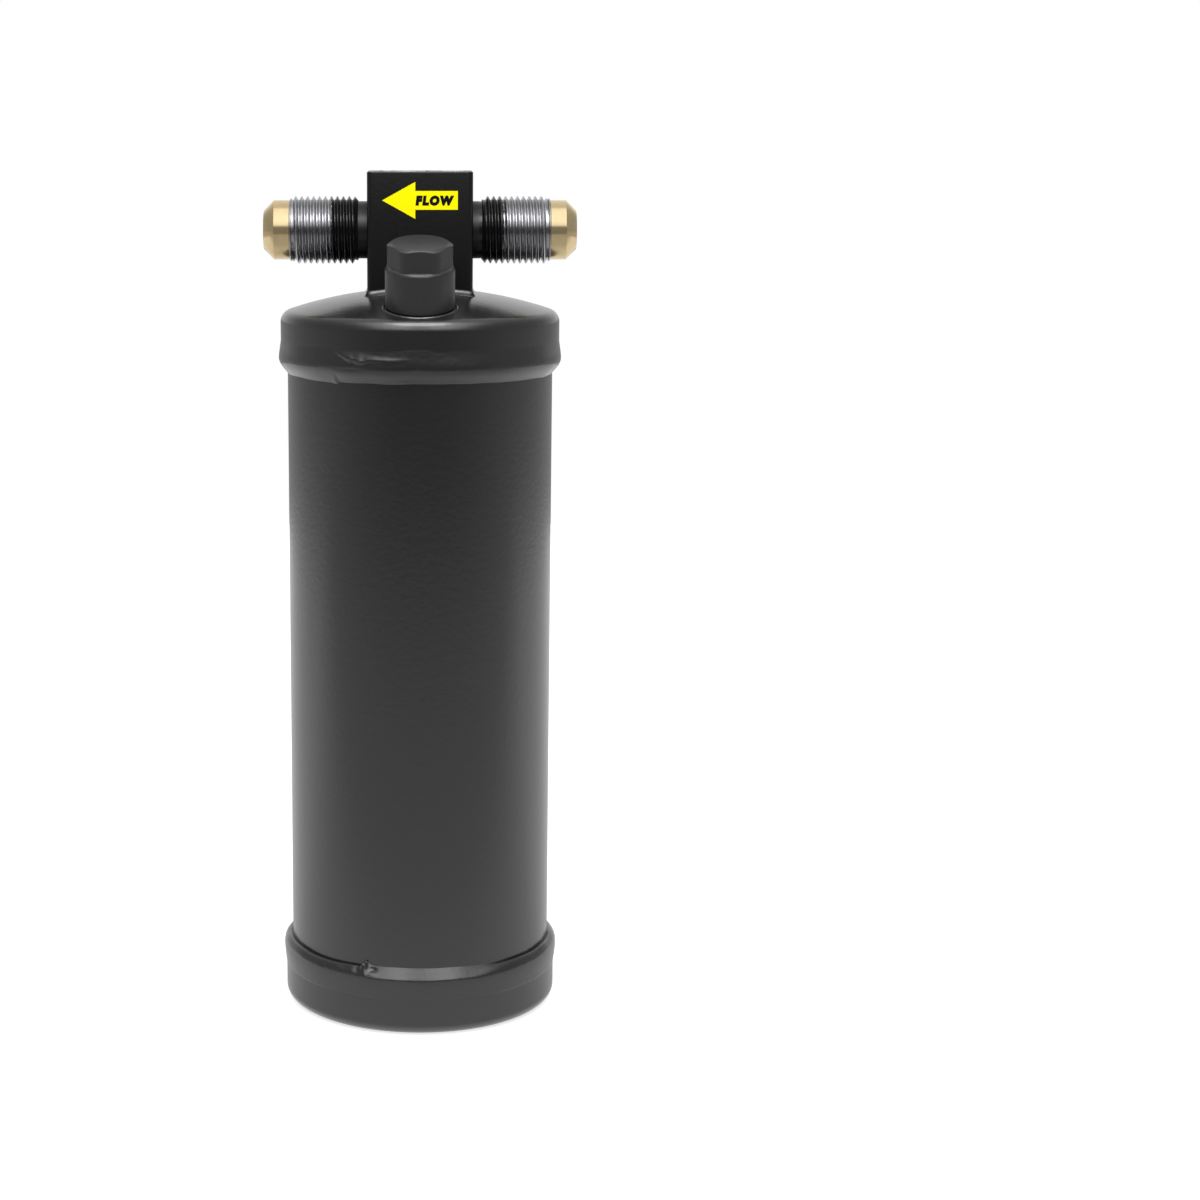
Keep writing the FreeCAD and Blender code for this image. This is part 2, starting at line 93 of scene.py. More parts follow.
# Light round the object, by angle from the front horizon over the top to the back
studio = {
    "stops": [(-180, 0.42), (-150, 0.45), (-90, 0.50), (-26, 0.40), (-19, 0.08), (13, 0.08),
              (21, 1.28), (90, 1.28), (100, 0.62), (150, 0.85), (180, 1.05)],
    # How far a direction turns to the side (0 to 1) before the side's own light sets in,
    # and where it takes over, low down and high up
    "sideStart": 0.22,
    "sideEnds": (1.05, 0.82), "sideEndHeights": (0.15, 0.35),
    # The side's light from the front (-1) to the back (1), and its share below and above
    # the horizon
    "sideStops": [(-1.0, 0.22), (-0.63, 0.25), (-0.3, 0.34), (0.0, 0.38), (0.5, 0.47), (1.0, 0.62)],
    "sideShares": (1.1, 0.72), "sideShareHeights": (-0.13, -0.04),
    # Two more lights high up at the front, left and right: by the turn to the side
    "wingStops": [(0.05, 0.0), (0.16, 0.95), (0.48, 0.95), (0.66, 0.0)],
    "wingHeights": (0.35, 0.50), "wingFronts": (0.05, 0.25),
    "lampPlace": (-0.001, -0.0685, 0.255),   # a strip over the front, facing down
    "lampWidth": 0.060,
    "lampDepth": 0.053,
    "lampPower": 0.0425,
    "floorRadius": 0.75,
    "floorDrop": 0.0002,
    "floorColour": 0.78,
    "floorRoughness": 0.9,
    # Painted shade and light on the floor as the object's paint reflects it: darker at the front (-Y),
    # paler towards the back
    "floorReflectionShadeStops": [(-0.60, 0.10), (-0.12, 0.32), (0.05, 0.80), (0.75, 0.95)],
    "floorGlow": 0.22,     # the table is lit from below
    "nearGlow": 0.80,      # and more so where the object stands
    "seenGlow": 0.44,      # what the camera sees besides
    "nearRadius": 0.031,
    "nearFade": 0.006,
}


def setInputs(node, inputs):
    # Gives each input a fixed value, or links another node's output to it
    for name, value in inputs.items():
        socket = node.inputs[name]
        if isinstance(value, bpy.types.NodeSocket):
            node.id_data.links.new(value, socket)
        else:
            socket.default_value = (*value, 1) if isinstance(value, tuple) else value


def addNode(tree, kind, inputs=None, **settings):
    node = tree.nodes.new(kind)
    node.location = (len(tree.nodes) % 8 * 200, len(tree.nodes) // 8 * -350)
    for key, value in settings.items():
        setattr(node, key, value)
    setInputs(node, inputs or {})
    return node


def objectPlace(tree):
    return addNode(tree, "ShaderNodeTexCoord").outputs["Object"]


# The next ones take other nodes' outputs, and work in the node tree of the first one

def addMath(operation, *values):
    return addNode(values[0].id_data, "ShaderNodeMath", dict(enumerate(values)),
                   operation=operation).outputs[0]


def addRange(value, ends, results=(0.0, 1.0), **settings):
    # Runs from the first result to the second while the value runs from end to end
    inputs = {"Value": value, "From Min": ends[0], "From Max": ends[1],
              "To Min": results[0], "To Max": results[1]}
    return addNode(value.id_data, "ShaderNodeMapRange", inputs, **settings).outputs[0]


def addRamp(value, stops):
    ramp = addNode(value.id_data, "ShaderNodeValToRGB", {0: value})
    elements = ramp.color_ramp.elements
    while len(elements) < len(stops):
        elements.new(0.5)
    for element, (place, shade) in zip(elements, stops):
        element.position = place
        element.color = (shade, shade, shade, 1)
    return ramp.outputs["Color"]


def addNoise(place, scale, detail=2.0):
    inputs = {"Vector": place, "Scale": scale, "Detail": detail}
    return addNode(place.id_data, "ShaderNodeTexNoise", inputs).outputs["Fac"]


def addBump(height, strength, distance, **settings):
    inputs = {"Height": height, "Strength": strength, "Distance": distance}
    return addNode(height.id_data, "ShaderNodeBump", inputs, **settings).outputs[0]


def mixColours(factor, first, second):
    inputs = {"Factor": factor, "A": first, "B": second}
    return addNode(factor.id_data, "ShaderNodeMix", inputs, data_type="RGBA").outputs["Result"]


def splitPlace(place):
    return addNode(place.id_data, "ShaderNodeSeparateXYZ", {0: place}).outputs


def makeWorld():
    world = bpy.data.worlds.new("studio")
    bpy.context.scene.world = world
    world.use_nodes = True
    tree = world.node_tree
    tree.nodes.clear()
    direction = addNode(tree, "ShaderNodeTexCoord").outputs["Generated"]
    x, y, z = splitPlace(direction)
    front = addMath("MULTIPLY", y, -1.0)
    angle = addMath("ARCTAN2", z, front)
    around = addMath("MULTIPLY_ADD", angle, 1 / (2 * math.pi), 0.5)
    over = addRamp(around, [((a + 180) / 360, v) for a, v in studio["stops"]])

    sideways = addMath("ABSOLUTE", x)
    sideEnd = addRange(z, studio["sideEndHeights"], studio["sideEnds"])
    sideMix = addRange(sideways, (studio["sideStart"], sideEnd), interpolation_type="SMOOTHSTEP")
    back = addMath("MULTIPLY_ADD", y, 0.5, 0.5)
    side = addRamp(back, [((b + 1) / 2, v) for b, v in studio["sideStops"]])
    share = addRange(z, studio["sideShareHeights"], studio["sideShares"])
    colour = mixColours(sideMix, over, addMath("MULTIPLY", side, share))

    strength = addRamp(sideways, studio["wingStops"])
    for source, ends in ((z, studio["wingHeights"]), (front, studio["wingFronts"])):
        strength = addMath("MULTIPLY", strength, addRange(source, ends))
    strength = addMath("ADD", strength, 1.0)
    light = addNode(tree, "ShaderNodeBackground", {"Color": colour, "Strength": strength})
    white = addNode(tree, "ShaderNodeBackground", {"Color": (1, 1, 1)})
    seen = addNode(tree, "ShaderNodeLightPath").outputs["Is Camera Ray"]
    mix = addNode(tree, "ShaderNodeMixShader", {0: seen, 1: light.outputs[0], 2: white.outputs[0]})
    addNode(tree, "ShaderNodeOutputWorld", {0: mix.outputs[0]})


def makeFloor():
    reach = studio["floorRadius"]
    deselect()
    bpy.ops.mesh.primitive_circle_add(vertices=96, radius=reach, fill_type="NGON",
                                      location=(0, 0, -studio["floorDrop"]))
    floor = namePiece("floor")
    shader = newMaterial("paleFloor", roughness=studio["floorRoughness"])
    tree = shader.id_data
    place = objectPlace(tree)
    seen = addNode(tree, "ShaderNodeLightPath").outputs["Is Camera Ray"]
    away = addNode(tree, "ShaderNodeVectorMath", {0: place}, operation="LENGTH")
    near = addRange(away.outputs["Value"],
                    (studio["nearRadius"], studio["nearRadius"] + studio["nearFade"]),
                    (studio["nearGlow"] + studio["floorGlow"], studio["floorGlow"]))
    glow = addNode(tree, "ShaderNodeMix", {
        "Factor": seen, "A": near, "B": studio["seenGlow"] + studio["floorGlow"]})
    across = addMath("MULTIPLY_ADD", splitPlace(place)["Y"], 1 / (2 * reach), 0.5)
    # Painted shade on the floor for the paint's reflections, darker at the front and paler at the back;
    # the camera sees the even floor colour
    floorReflectionShade = addRamp(across,
                   [((y + reach) / (2 * reach), value) for y, value in studio["floorReflectionShadeStops"]])
    setInputs(shader, {
        "Base Color": mixColours(seen, floorReflectionShade, (studio["floorColour"],) * 3),
        "Emission Color": (1, 1, 1), "Emission Strength": glow.outputs[0]})
    dress(floor, "paleFloor")

    bpy.ops.object.light_add(type="AREA", location=studio["lampPlace"])
    lamp = namePiece("lamp")
    lamp.data.shape = "RECTANGLE"
    lamp.data.size = studio["lampWidth"]
    lamp.data.size_y = studio["lampDepth"]
    lamp.data.energy = studio["lampPower"]
    lamp.visible_camera = False
    print("light and floor made")


# ---- materials ----

def makeGroup(name, inputs, outputs):
    tree = bpy.data.node_groups.new(name, "ShaderNodeTree")
    for label in inputs:
        tree.interface.new_socket(label, in_out="INPUT", socket_type="NodeSocketFloat")
    for label, kind in outputs.items():
        tree.interface.new_socket(label, in_out="OUTPUT", socket_type="NodeSocket" + kind)
    return tree, addNode(tree, "NodeGroupInput").outputs


paintSkin = {
    "peelRise": 0.0003,
    "glossScale": 45.0, "glossChange": 0.05,
    "fleckScale": 2600.0, "fleckEnds": (0.70, 0.80), "fleckShare": 0.3,
}


def makeSkinGroup():
    # The skin of sprayed paint: a fine peel, slow changes of gloss, and a few fine flecks
    tree, given = makeGroup(
        "paintSkin", ["Peel Scale", "Peel Depth", "Roughness"],
        {"Normal": "Vector", "Roughness": "Float", "Fleck": "Float"})
    place = objectPlace(tree)
    peel = addNoise(place, given["Peel Scale"])
    slow = addNoise(place, paintSkin["glossScale"], 3.0)
    change = addMath("MULTIPLY", addMath("SUBTRACT", slow, 0.5), paintSkin["glossChange"])
    dust = addNoise(place, paintSkin["fleckScale"], 1.0)
    few = addRange(dust, paintSkin["fleckEnds"])
    addNode(tree, "NodeGroupOutput", {
        "Normal": addBump(peel, given["Peel Depth"], paintSkin["peelRise"]),
        "Roughness": addMath("ADD", change, given["Roughness"]),
        "Fleck": addMath("MULTIPLY", few, paintSkin["fleckShare"])})
    return tree


latheMarks = {"scale": 2200.0, "rise": 0.0001}


def makeTurnedGroup():
    # Fine rings that a lathe leaves round the ports' axis, and slow stains
    tree, given = makeGroup("turnedMetal", ["Line Depth", "Stain Scale"],
                            {"Normal": "Vector", "Stain": "Float"})
    place = objectPlace(tree)
    lines = addNode(tree, "ShaderNodeTexNoise", {
        "W": splitPlace(place)["X"], "Scale": latheMarks["scale"], "Detail": 3.0},
        noise_dimensions="1D").outputs["Fac"]
    addNode(tree, "NodeGroupOutput", {
        "Normal": addBump(lines, given["Line Depth"], latheMarks["rise"]),
        "Stain": addNoise(place, given["Stain Scale"], 5.0)})
    return tree


def newMaterial(name, metallic=0.0, roughness=0.5, ior=1.5):
    material = bpy.data.materials.new(name)
    material.use_nodes = True
    materials[name] = material
    shader = material.node_tree.nodes["Principled BSDF"]
    setInputs(shader, {"Metallic": metallic, "Roughness": roughness, "IOR": ior})
    return shader


paints = {
    "canPaint": {"colour": (0.0135, 0.0135, 0.0137), "fleck": (0.04, 0.04, 0.04), "ior": 1.80,
                 "skin": {"Roughness": 0.235, "Peel Scale": 750.0, "Peel Depth": 0.10}},
    "blockPaint": {"colour": (0.0045, 0.0045, 0.0052), "fleck": (0.018, 0.018, 0.018),
                   "ior": 1.45, "skin": {"Roughness": 0.30, "Peel Scale": 900.0, "Peel Depth": 0.10}},
    "capPaint": {"colour": (0.025, 0.025, 0.025), "fleck": (0.06, 0.06, 0.06), "ior": 1.55,
                 "skin": {"Roughness": 0.36, "Peel Scale": 1300.0, "Peel Depth": 0.14}},
}


def makePaint(name, given, skin):
    shader = newMaterial(name, ior=given["ior"])
    group = addNode(shader.id_data, "ShaderNodeGroup", given["skin"], node_tree=skin).outputs
    setInputs(shader, {
        "Base Color": mixColours(group["Fleck"], given["colour"], given["fleck"]),
        "Roughness": group["Roughness"], "Normal": group["Normal"]})


portSteel = {
    "colour": (0.52, 0.52, 0.535), "stained": (0.31, 0.31, 0.325), "roughness": 0.22,
    "paint": (0.0050, 0.0050, 0.0058), "paintRoughness": 0.19, "ior": 1.45,
    "lathe": {"Line Depth": 0.03, "Stain Scale": 160.0},
    "neckEnd": 0.0146,         # the paint lies dull in the neck, up to here
    "neckFade": 0.0003,
    "neckRoughness": 0.36,
    "paintEdge": 0.02035,      # the block's paint reaches this far from the middle
    "paintFade": 0.0001,
    "paintShift": 0.00065,     # and a little further on the outlet's side
    "ragged": 0.0011, "raggedScale": 800.0,
}


def makePortSteel(turned):
    given = portSteel
    shader = newMaterial("portSteel", ior=given["ior"])
    tree = shader.id_data
    place = objectPlace(tree)
    shifted = addMath("ADD", splitPlace(place)["X"], given["paintShift"])
    reach = addMath("ABSOLUTE", shifted)
    edge = addNoise(place, given["raggedScale"])
    ragged = addMath("MULTIPLY", edge, given["ragged"])
    middle = given["paintEdge"] + given["ragged"] / 2
    bare = addRange(addMath("ADD", reach, ragged),
                    (middle - given["paintFade"], middle + given["paintFade"]))
    dull = addRange(reach,
                    (given["neckEnd"] - given["neckFade"], given["neckEnd"] + given["neckFade"]),
                    (given["neckRoughness"], given["paintRoughness"]))
    lathe = addNode(tree, "ShaderNodeGroup", given["lathe"], node_tree=turned).outputs
    metal = mixColours(lathe["Stain"], given["colour"], given["stained"])
    setInputs(shader, {
        "Base Color": mixColours(bare, given["paint"], metal), "Metallic": bare,
        "Roughness": addRange(bare, (0.0, 1.0), (dull, given["roughness"])),
        "Normal": lathe["Normal"]})


metals = {
    "portBrass": {"colour": (0.735, 0.585, 0.335), "stained": (0.63, 0.49, 0.265), "metallic": 0.78,
                  "roughness": 0.12, "lathe": {"Line Depth": 0.03, "Stain Scale": 220.0}},
    "ringSteel": {"colour": (0.70, 0.70, 0.69), "stained": (0.32, 0.32, 0.31), "metallic": 1.0,
                  "roughness": 0.42, "lathe": {"Line Depth": 0.45, "Stain Scale": 700.0}},
    "innerSteel": {"colour": (0.60, 0.60, 0.60), "stained": (0.45, 0.45, 0.44), "metallic": 1.0,
                   "roughness": 0.35, "lathe": {"Line Depth": 0.10, "Stain Scale": 90.0}},
}
stainEnds = (0.40, 0.75)     # the stains' noise at which the colour starts to change, and has
stainRough = (-0.03, 0.07)   # what clean and stained metal add to the roughness


def makeMetal(name, given, turned):
    shader = newMaterial(name, metallic=given["metallic"])
    lathe = addNode(shader.id_data, "ShaderNodeGroup", given["lathe"], node_tree=turned).outputs
    spread = addRange(lathe["Stain"], stainEnds)
    rough = [given["roughness"] + more for more in stainRough]
    setInputs(shader, {
        "Base Color": mixColours(spread, given["colour"], given["stained"]),
        "Roughness": addRange(lathe["Stain"], (0.0, 1.0), rough),
        "Normal": lathe["Normal"]})


grains = {
    "sealRubber": {"colour": (0.012, 0.012, 0.012), "second": (0.03, 0.03, 0.03),
                   "roughness": 0.6, "scale": 2500.0, "depth": 0.2, "cells": False},
    "filterFelt": {"colour": (0.75, 0.73, 0.68), "second": (0.5, 0.48, 0.43),
                   "roughness": 0.95, "scale": 1800.0, "depth": 0.9, "cells": False},
    "desiccantBeads": {"colour": (0.72, 0.66, 0.55), "second": (0.35, 0.30, 0.22),
                       "roughness": 0.8, "scale": 450.0, "depth": 1.0, "cells": True},
}
grainRise = 0.0005


def makeGrainy(name, given):
    # Rubber, felt and beads: a grain in colour and in height
    shader = newMaterial(name, roughness=given["roughness"])
    place = objectPlace(shader.id_data)
    if given["cells"]:
        inputs = {"Vector": place, "Scale": given["scale"]}
        height = addNode(shader.id_data, "ShaderNodeTexVoronoi", inputs).outputs["Distance"]
    else:
        height = addNoise(place, given["scale"])
    setInputs(shader, {
        "Base Color": mixColours(height, given["colour"], given["second"]),
        "Normal": addBump(height, given["depth"], grainRise, invert=given["cells"])})


def makeGlass():
    shader = newMaterial("sightGlass", roughness=0.04)
    setInputs(shader, {"Base Color": (0.80, 0.84, 0.82), "Transmission Weight": 1.0})


# glow: strength of a painted glow on the ink that only the camera sees; it lights nothing
inks = {
    "arrowYellow": {"colour": (0.90, 0.83, 0.0), "second": (0.87, 0.80, 0.0), "glow": 0.30},
    "letterBlack": {"colour": (0.003, 0.003, 0.008), "second": (0.006, 0.006, 0.014), "glow": 0.0},
    "letterWhite": {"colour": (0.86, 0.86, 0.86), "second": (0.70, 0.70, 0.70), "glow": 0.0},
}
inkCloud = 900.0
# A painted dark grey: the paint round the ink reflects this in place of the ink, a painted shade in its
# reflection
inkReflectionShade = (0.05, 0.05, 0.05)  # what the paint round it shows of it


def makeInk(name, given):
    # The ink has a painted glow that only the camera sees and that lights nothing, and the paint round
    # it reflects a painted dark grey in place of the ink
    shader = newMaterial(name)
    tree = shader.id_data
    cloud = addNoise(objectPlace(tree), inkCloud, 4.0)
    seen = addNode(tree, "ShaderNodeLightPath").outputs
    ink = mixColours(cloud, given["colour"], given["second"])
    setInputs(shader, {
        "Base Color": mixColours(seen["Is Glossy Ray"], ink, inkReflectionShade),
        "Emission Color": mixColours(seen["Is Camera Ray"], (0.0, 0.0, 0.0), given["colour"]),
        "Emission Strength": given["glow"], "Specular IOR Level": 0.1})


def makeMaterials():
    skin = makeSkinGroup()
    turned = makeTurnedGroup()
    for name, given in paints.items():
        makePaint(name, given, skin)
    makePortSteel(turned)
    for name, given in metals.items():
        makeMetal(name, given, turned)
    for name, given in grains.items():
        makeGrainy(name, given)
    makeGlass()
    for name, given in inks.items():
        makeInk(name, given)
    print("materials made")


def dress(piece, material):
    piece.data.materials.clear()
    piece.data.materials.append(materials[material])


def finishPiece(piece, material, node=None, body="vessel", place=None):
    # Its place, its look, the body it moves with, its paint slot, and the CAD node it stands for
    if place is not None:
        setPlace(piece, place)
    dress(piece, material)
    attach(piece, body)
    if node:
        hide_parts(node)


# ---- modelling helpers ----

def deselect():
    bpy.ops.object.select_all(action="DESELECT")


def activate(piece):
    deselect()
    piece.select_set(True)
    bpy.context.view_layer.objects.active = piece


def namePiece(name):
    piece = bpy.context.object
    piece.name = name
    return piece


def editAll():
    bpy.ops.object.mode_set(mode="EDIT")
    bpy.ops.mesh.select_all(action="SELECT")


def leaveEdit():
    bpy.ops.mesh.select_mode(type="VERT")
    bpy.ops.object.mode_set(mode="OBJECT")


def mergePoints():
    # Stays in edit mode with all selected
    editAll()
    bpy.ops.mesh.remove_doubles(threshold=tiny)
    bpy.ops.mesh.select_all(action="SELECT")


def cleanUp():
    # Merges doubles, turns the faces outwards and leaves edit mode
    mergePoints()
    bpy.ops.mesh.dissolve_degenerate(threshold=tiny / 4)
    bpy.ops.mesh.select_all(action="SELECT")
    bpy.ops.mesh.normals_make_consistent(inside=False)
    leaveEdit()


def selectEdges(piece, test):
    # Stays in edit mode with the edges selected whose ends pass the test
    bpy.ops.object.mode_set(mode="EDIT")
    bpy.ops.mesh.select_mode(type="EDGE")
    bpy.ops.mesh.select_all(action="DESELECT")
    bpy.ops.object.mode_set(mode="OBJECT")
    for edge in piece.data.edges:
        edge.select = test(*(piece.data.vertices[index].co for index in edge.vertices))
    bpy.ops.object.mode_set(mode="EDIT")


def upright(a, b):
    return abs(a.z - b.z) > 3 * mm


def roundEdges(piece, test, width, segments):
    selectEdges(piece, test)
    bpy.ops.mesh.bevel(offset=width * mm, segments=segments, affect="EDGES")
    leaveEdit()


def smooth(piece, angle=35):
    activate(piece)
    bpy.ops.object.shade_smooth_by_angle(angle=math.radians(angle))


def applyModifier(piece, kind, **settings):
    activate(piece)
    modifier = piece.modifiers.new(kind.lower(), kind)
    for key, value in settings.items():
        setattr(modifier, key, value)
    bpy.ops.object.modifier_apply(modifier=modifier.name)


def arcPoints(middle, radius, start, end, count):
    # Points of a round stretch of an outline, with angles in degrees
    points = []
    for index in range(count + 1):
        turn = math.radians(start + (end - start) * index / count)
        points.append((middle[0] + radius * math.cos(turn), middle[1] + radius * math.sin(turn)))
    return points


def drawOutline(name, outline):
    # One point, pushed along the outline's (radius, height) points
    deselect()
    bpy.ops.mesh.primitive_plane_add(size=mm, location=(0, 0, 0))
    piece = namePiece(name)
    editAll()
    bpy.ops.mesh.merge(type="CENTER")
    bpy.ops.transform.translate(value=(outline[0][0] * mm, 0, outline[0][1] * mm))
    for before, after in zip(outline, outline[1:]):
        step = ((after[0] - before[0]) * mm, 0, (after[1] - before[1]) * mm)
        bpy.ops.mesh.extrude_vertices_move(TRANSFORM_OT_translate={"value": step})
    leaveEdit()
    return piece


def turnPiece(name, outline, steps=96, angle=35):
    # Spins a closed outline round Z
    piece = drawOutline(name, outline + outline[:1])
    mergePoints()
    bpy.ops.mesh.spin(steps=steps, angle=2 * math.pi, center=(0, 0, 0), axis=(0, 0, 1))
    cleanUp()
    smooth(piece, angle)
    return piece


def windUp(piece, rise, turns, steps):
    # Winds an outline up round Z
    applyModifier(piece, "SCREW", axis="Z", angle=2 * math.pi, steps=steps, render_steps=steps,
                  screw_offset=rise * mm, iterations=turns)


def shapeSleeve(name, around, rings, place):
    # Pulls a circle up ring by ring, closes the sleeve on itself,
    # and puts each point where place(turn, ring) says, in millimetres
    deselect()
    bpy.ops.mesh.primitive_circle_add(vertices=around, radius=1, location=(0, 0, 0))
    piece = namePiece(name)
    editAll()
    for ring in range(1, rings):
        bpy.ops.mesh.extrude_region_move(TRANSFORM_OT_translate={"value": (0, 0, 1)})
    selectEdges(piece, lambda a, b: abs(a.z - b.z) < 0.5 and round(a.z) in (0, rings - 1))
    bpy.ops.mesh.bridge_edge_loops()
    leaveEdit()
    for vertex in piece.data.vertices:
        turn = math.atan2(vertex.co.y, vertex.co.x)
        vertex.co = Vector(place(turn, round(vertex.co.z))) * mm
    cleanUp()
    smooth(piece, 180)
    return piece


def combine(piece, other, operation="DIFFERENCE"):
    # Boolean of two pieces; the other one is used up
    applyModifier(piece, "BOOLEAN", operation=operation, solver="EXACT", object=other)
    bpy.data.objects.remove(other)


def addRod(radius, low, high, x=0.0, y=0.0, vertices=64):
    deselect()
    bpy.ops.mesh.primitive_cylinder_add(vertices=vertices, radius=radius * mm, depth=(high - low) * mm,
                                        location=(x * mm, y * mm, (low + high) / 2 * mm))
    return bpy.context.object


def placeAt(x, y, z, turn=0, axis="Z"):
    # A place in millimetres, and a turn there in degrees
    return (Matrix.Translation((x * mm, y * mm, z * mm))
            @ Matrix.Rotation(math.radians(turn), 4, axis))


def setPlace(piece, matrix):
    # Puts a piece in place and keeps the place in its mesh
    activate(piece)
    piece.matrix_world = matrix @ piece.matrix_world
    bpy.ops.object.transform_apply()


def bevelEdges(piece, width, segments, angle):
    applyModifier(piece, "BEVEL", width=width * mm, segments=segments, limit_method="ANGLE",
                  angle_limit=math.radians(angle), use_clamp_overlap=True)


def wave(place, scale, seed):
    # Smooth noise from -1 to 1 at a point in millimetres; scale is the size of its bumps
    return noise.noise(Vector(place) / scale + Vector((seed, seed * 2, seed * 3)))


# ---- shell ----

shell = {
    "tubeRadius": 31.75,
    "tubeWall": 1.6,
    "tubeEndGap": 1.2,      # from the tube's end to where a head starts to curve
    "headWall": 1.55,
    "headSlip": 0.05,
    "baseCorner": 2.8,
    "baseDish": 0.5,        # the base is pressed in a little inside its rim
    "baseRim": 4.0,
    "dishSlope": 2.0,
    "knuckle": 3.0,
    "crown": 100.0,
    "around": 256,
    "drillReach": 8.0,      # how far a drill stands out on each side of the head
}
block = {
    "width": 24.9, "depth": 18.0, "height": 27.6, "corner": 1.3, "edge": 0.3, "sink": 0.3,
    "domeReach": 22,        # of the ball that shapes the block's foot
    "socket": 5.55, "socketDepth": 3.1, "passage": 4.0, "passageEnd": 5.2, "outletEnd": 4.0,
    "drop": 2.5, "dropPitch": 7.2, "dropOffset": 6.725, "pickup": 4.05, "throat": 3.2,
    "pickupSocket": 8.4,
    "sightOffset": 3.7, "spotface": 6.25, "spotfaceDepth": 0.5, "ringHole": 5.3,
    "ringHoleDepth": 6.8, "viewBore": 3.25,
}
port = {
    "threadRadius": 7.9375, "threadRoot": 7.06, "pitch": 1.4111, "threadLength": 16.15,
    "collar": 7.42, "collarRim": 7.30, "collarLength": 0.35, "collarEdge": 0.1,
    "neck": 6.75, "neckLength": 2.2, "shank": 5.5, "shankLength": 3.0, "bore": 4.0,
    "noseSocket": 5.05, "noseSocketDepth": 8.0,
    "noseRadius": 7.0, "noseLength": 6.3, "noseChamfer": 2.45, "noseBore": 3.25,
    "noseShank": 5.0, "noseShankLength": 7.9,
    # An edge of the nose is broken this far back, with a point this far along and down
    "noseEdge": (0.12, 0.08, 0.10), "noseMouth": 0.25,
}
service = {
    "threadRadius": 5.555, "threadRoot": 4.82, "pitch": 1.27, "length": 10.6, "flange": 6.3,
    "flangeHeight": 1.3, "flangeEdge": 0.15, "flangeSink": 0.25,
    "spigot": 4.5, "spigotReach": 2.55, "spigotSlip": 0.05, "bore": 2.65, "throat": 2.1,
    "shoulder": 6.15, "shoulderFall": 0.6, "rim": 0.1, "mouth": 0.2,
}

tubeLow, tubeHigh = nodeHeights("shell_tube")
bottomRim = nodeHeights("bottom_head")[1]
topRim = nodeHeights("top_head")[0]
blockTop = nodeHeights("header_block")[1]
crownTop = blockTop - block["height"]
crownCentre = crownTop - shell["crown"]
headInside = shell["tubeRadius"] + shell["headSlip"]
headOutside = headInside + shell["headWall"]
noseLow, noseHigh = nodeHeights("inlet_nose")
portHeight = (noseLow + noseHigh) / 2


def crownHeight(x, y):
    return crownCentre + math.sqrt(shell["crown"] ** 2 - x * x - y * y)


def portPlace(name):
    # A service port's own frame, from the joint of its cap
    joint = next(j for j in frame["joints"] if j["name"] == name + "_cap_screw")
    turn = Vector((0, 0, 1)).rotation_difference(Vector(joint["axis"])).to_matrix().to_4x4()
    return Matrix.Translation(joint["pos_m"]) @ turn


def makeTube():
    inside = shell["tubeRadius"] - shell["tubeWall"]
    outline = [(inside, tubeLow), (shell["tubeRadius"], tubeLow),
               (shell["tubeRadius"], tubeHigh), (inside, tubeHigh)]
    return turnPiece("tube", outline, shell["around"])


def makeBottomHead():
    wall, dish = shell["headWall"], shell["baseDish"]
    bend = headOutside - shell["baseCorner"]
    corner = (bend, shell["baseCorner"])
    flat = bend - shell["baseRim"]
    inner = flat - shell["dishSlope"]
    outline = [(0, dish), (inner, dish), (flat, 0)]
    outline += arcPoints(corner, shell["baseCorner"], -90, 0, 12)
    outline += [(headOutside, bottomRim), (headInside, bottomRim)]
    outline += arcPoints(corner, shell["baseCorner"] - wall, 0, -90, 6)
    outline += [(flat, wall), (inner, wall + dish), (0, wall + dish)]
    return turnPiece("bottomHead", outline, shell["around"])


def makeTopHead():
    crown, wall, knuckle = shell["crown"], shell["headWall"], shell["knuckle"]
    knuckleCentre = (headOutside - knuckle, tubeHigh + shell["tubeEndGap"])
    lean = math.degrees(math.acos(knuckleCentre[0] / (crown - knuckle)))
    outline = [(headInside, topRim), (headOutside, topRim)]
    outline += arcPoints(knuckleCentre, knuckle, 0, lean, 14)
    outline += arcPoints((0, crownCentre), crown, lean, 90, 24)[1:]
    outline += arcPoints((0, crownCentre), crown - wall, 90, lean, 12)
    outline += arcPoints(knuckleCentre, knuckle - wall, lean, 0, 6)[1:]
    head = turnPiece("topHead", outline, shell["around"])
    low = crownTop - shell["drillReach"]
    combine(head, addRod(block["pickup"], low, blockTop))
    for side in (-1, 1):
        combine(head, addRod(block["drop"], low, blockTop, block["dropOffset"],
                             side * block["dropPitch"] / 2, 32))
    for name in ("front", "rear"):
        drill = addRod(service["spigot"] + service["spigotSlip"], -shell["drillReach"],
                       shell["drillReach"])
        setPlace(drill, portPlace(name))
        combine(head, drill)
    smooth(head)
    return head


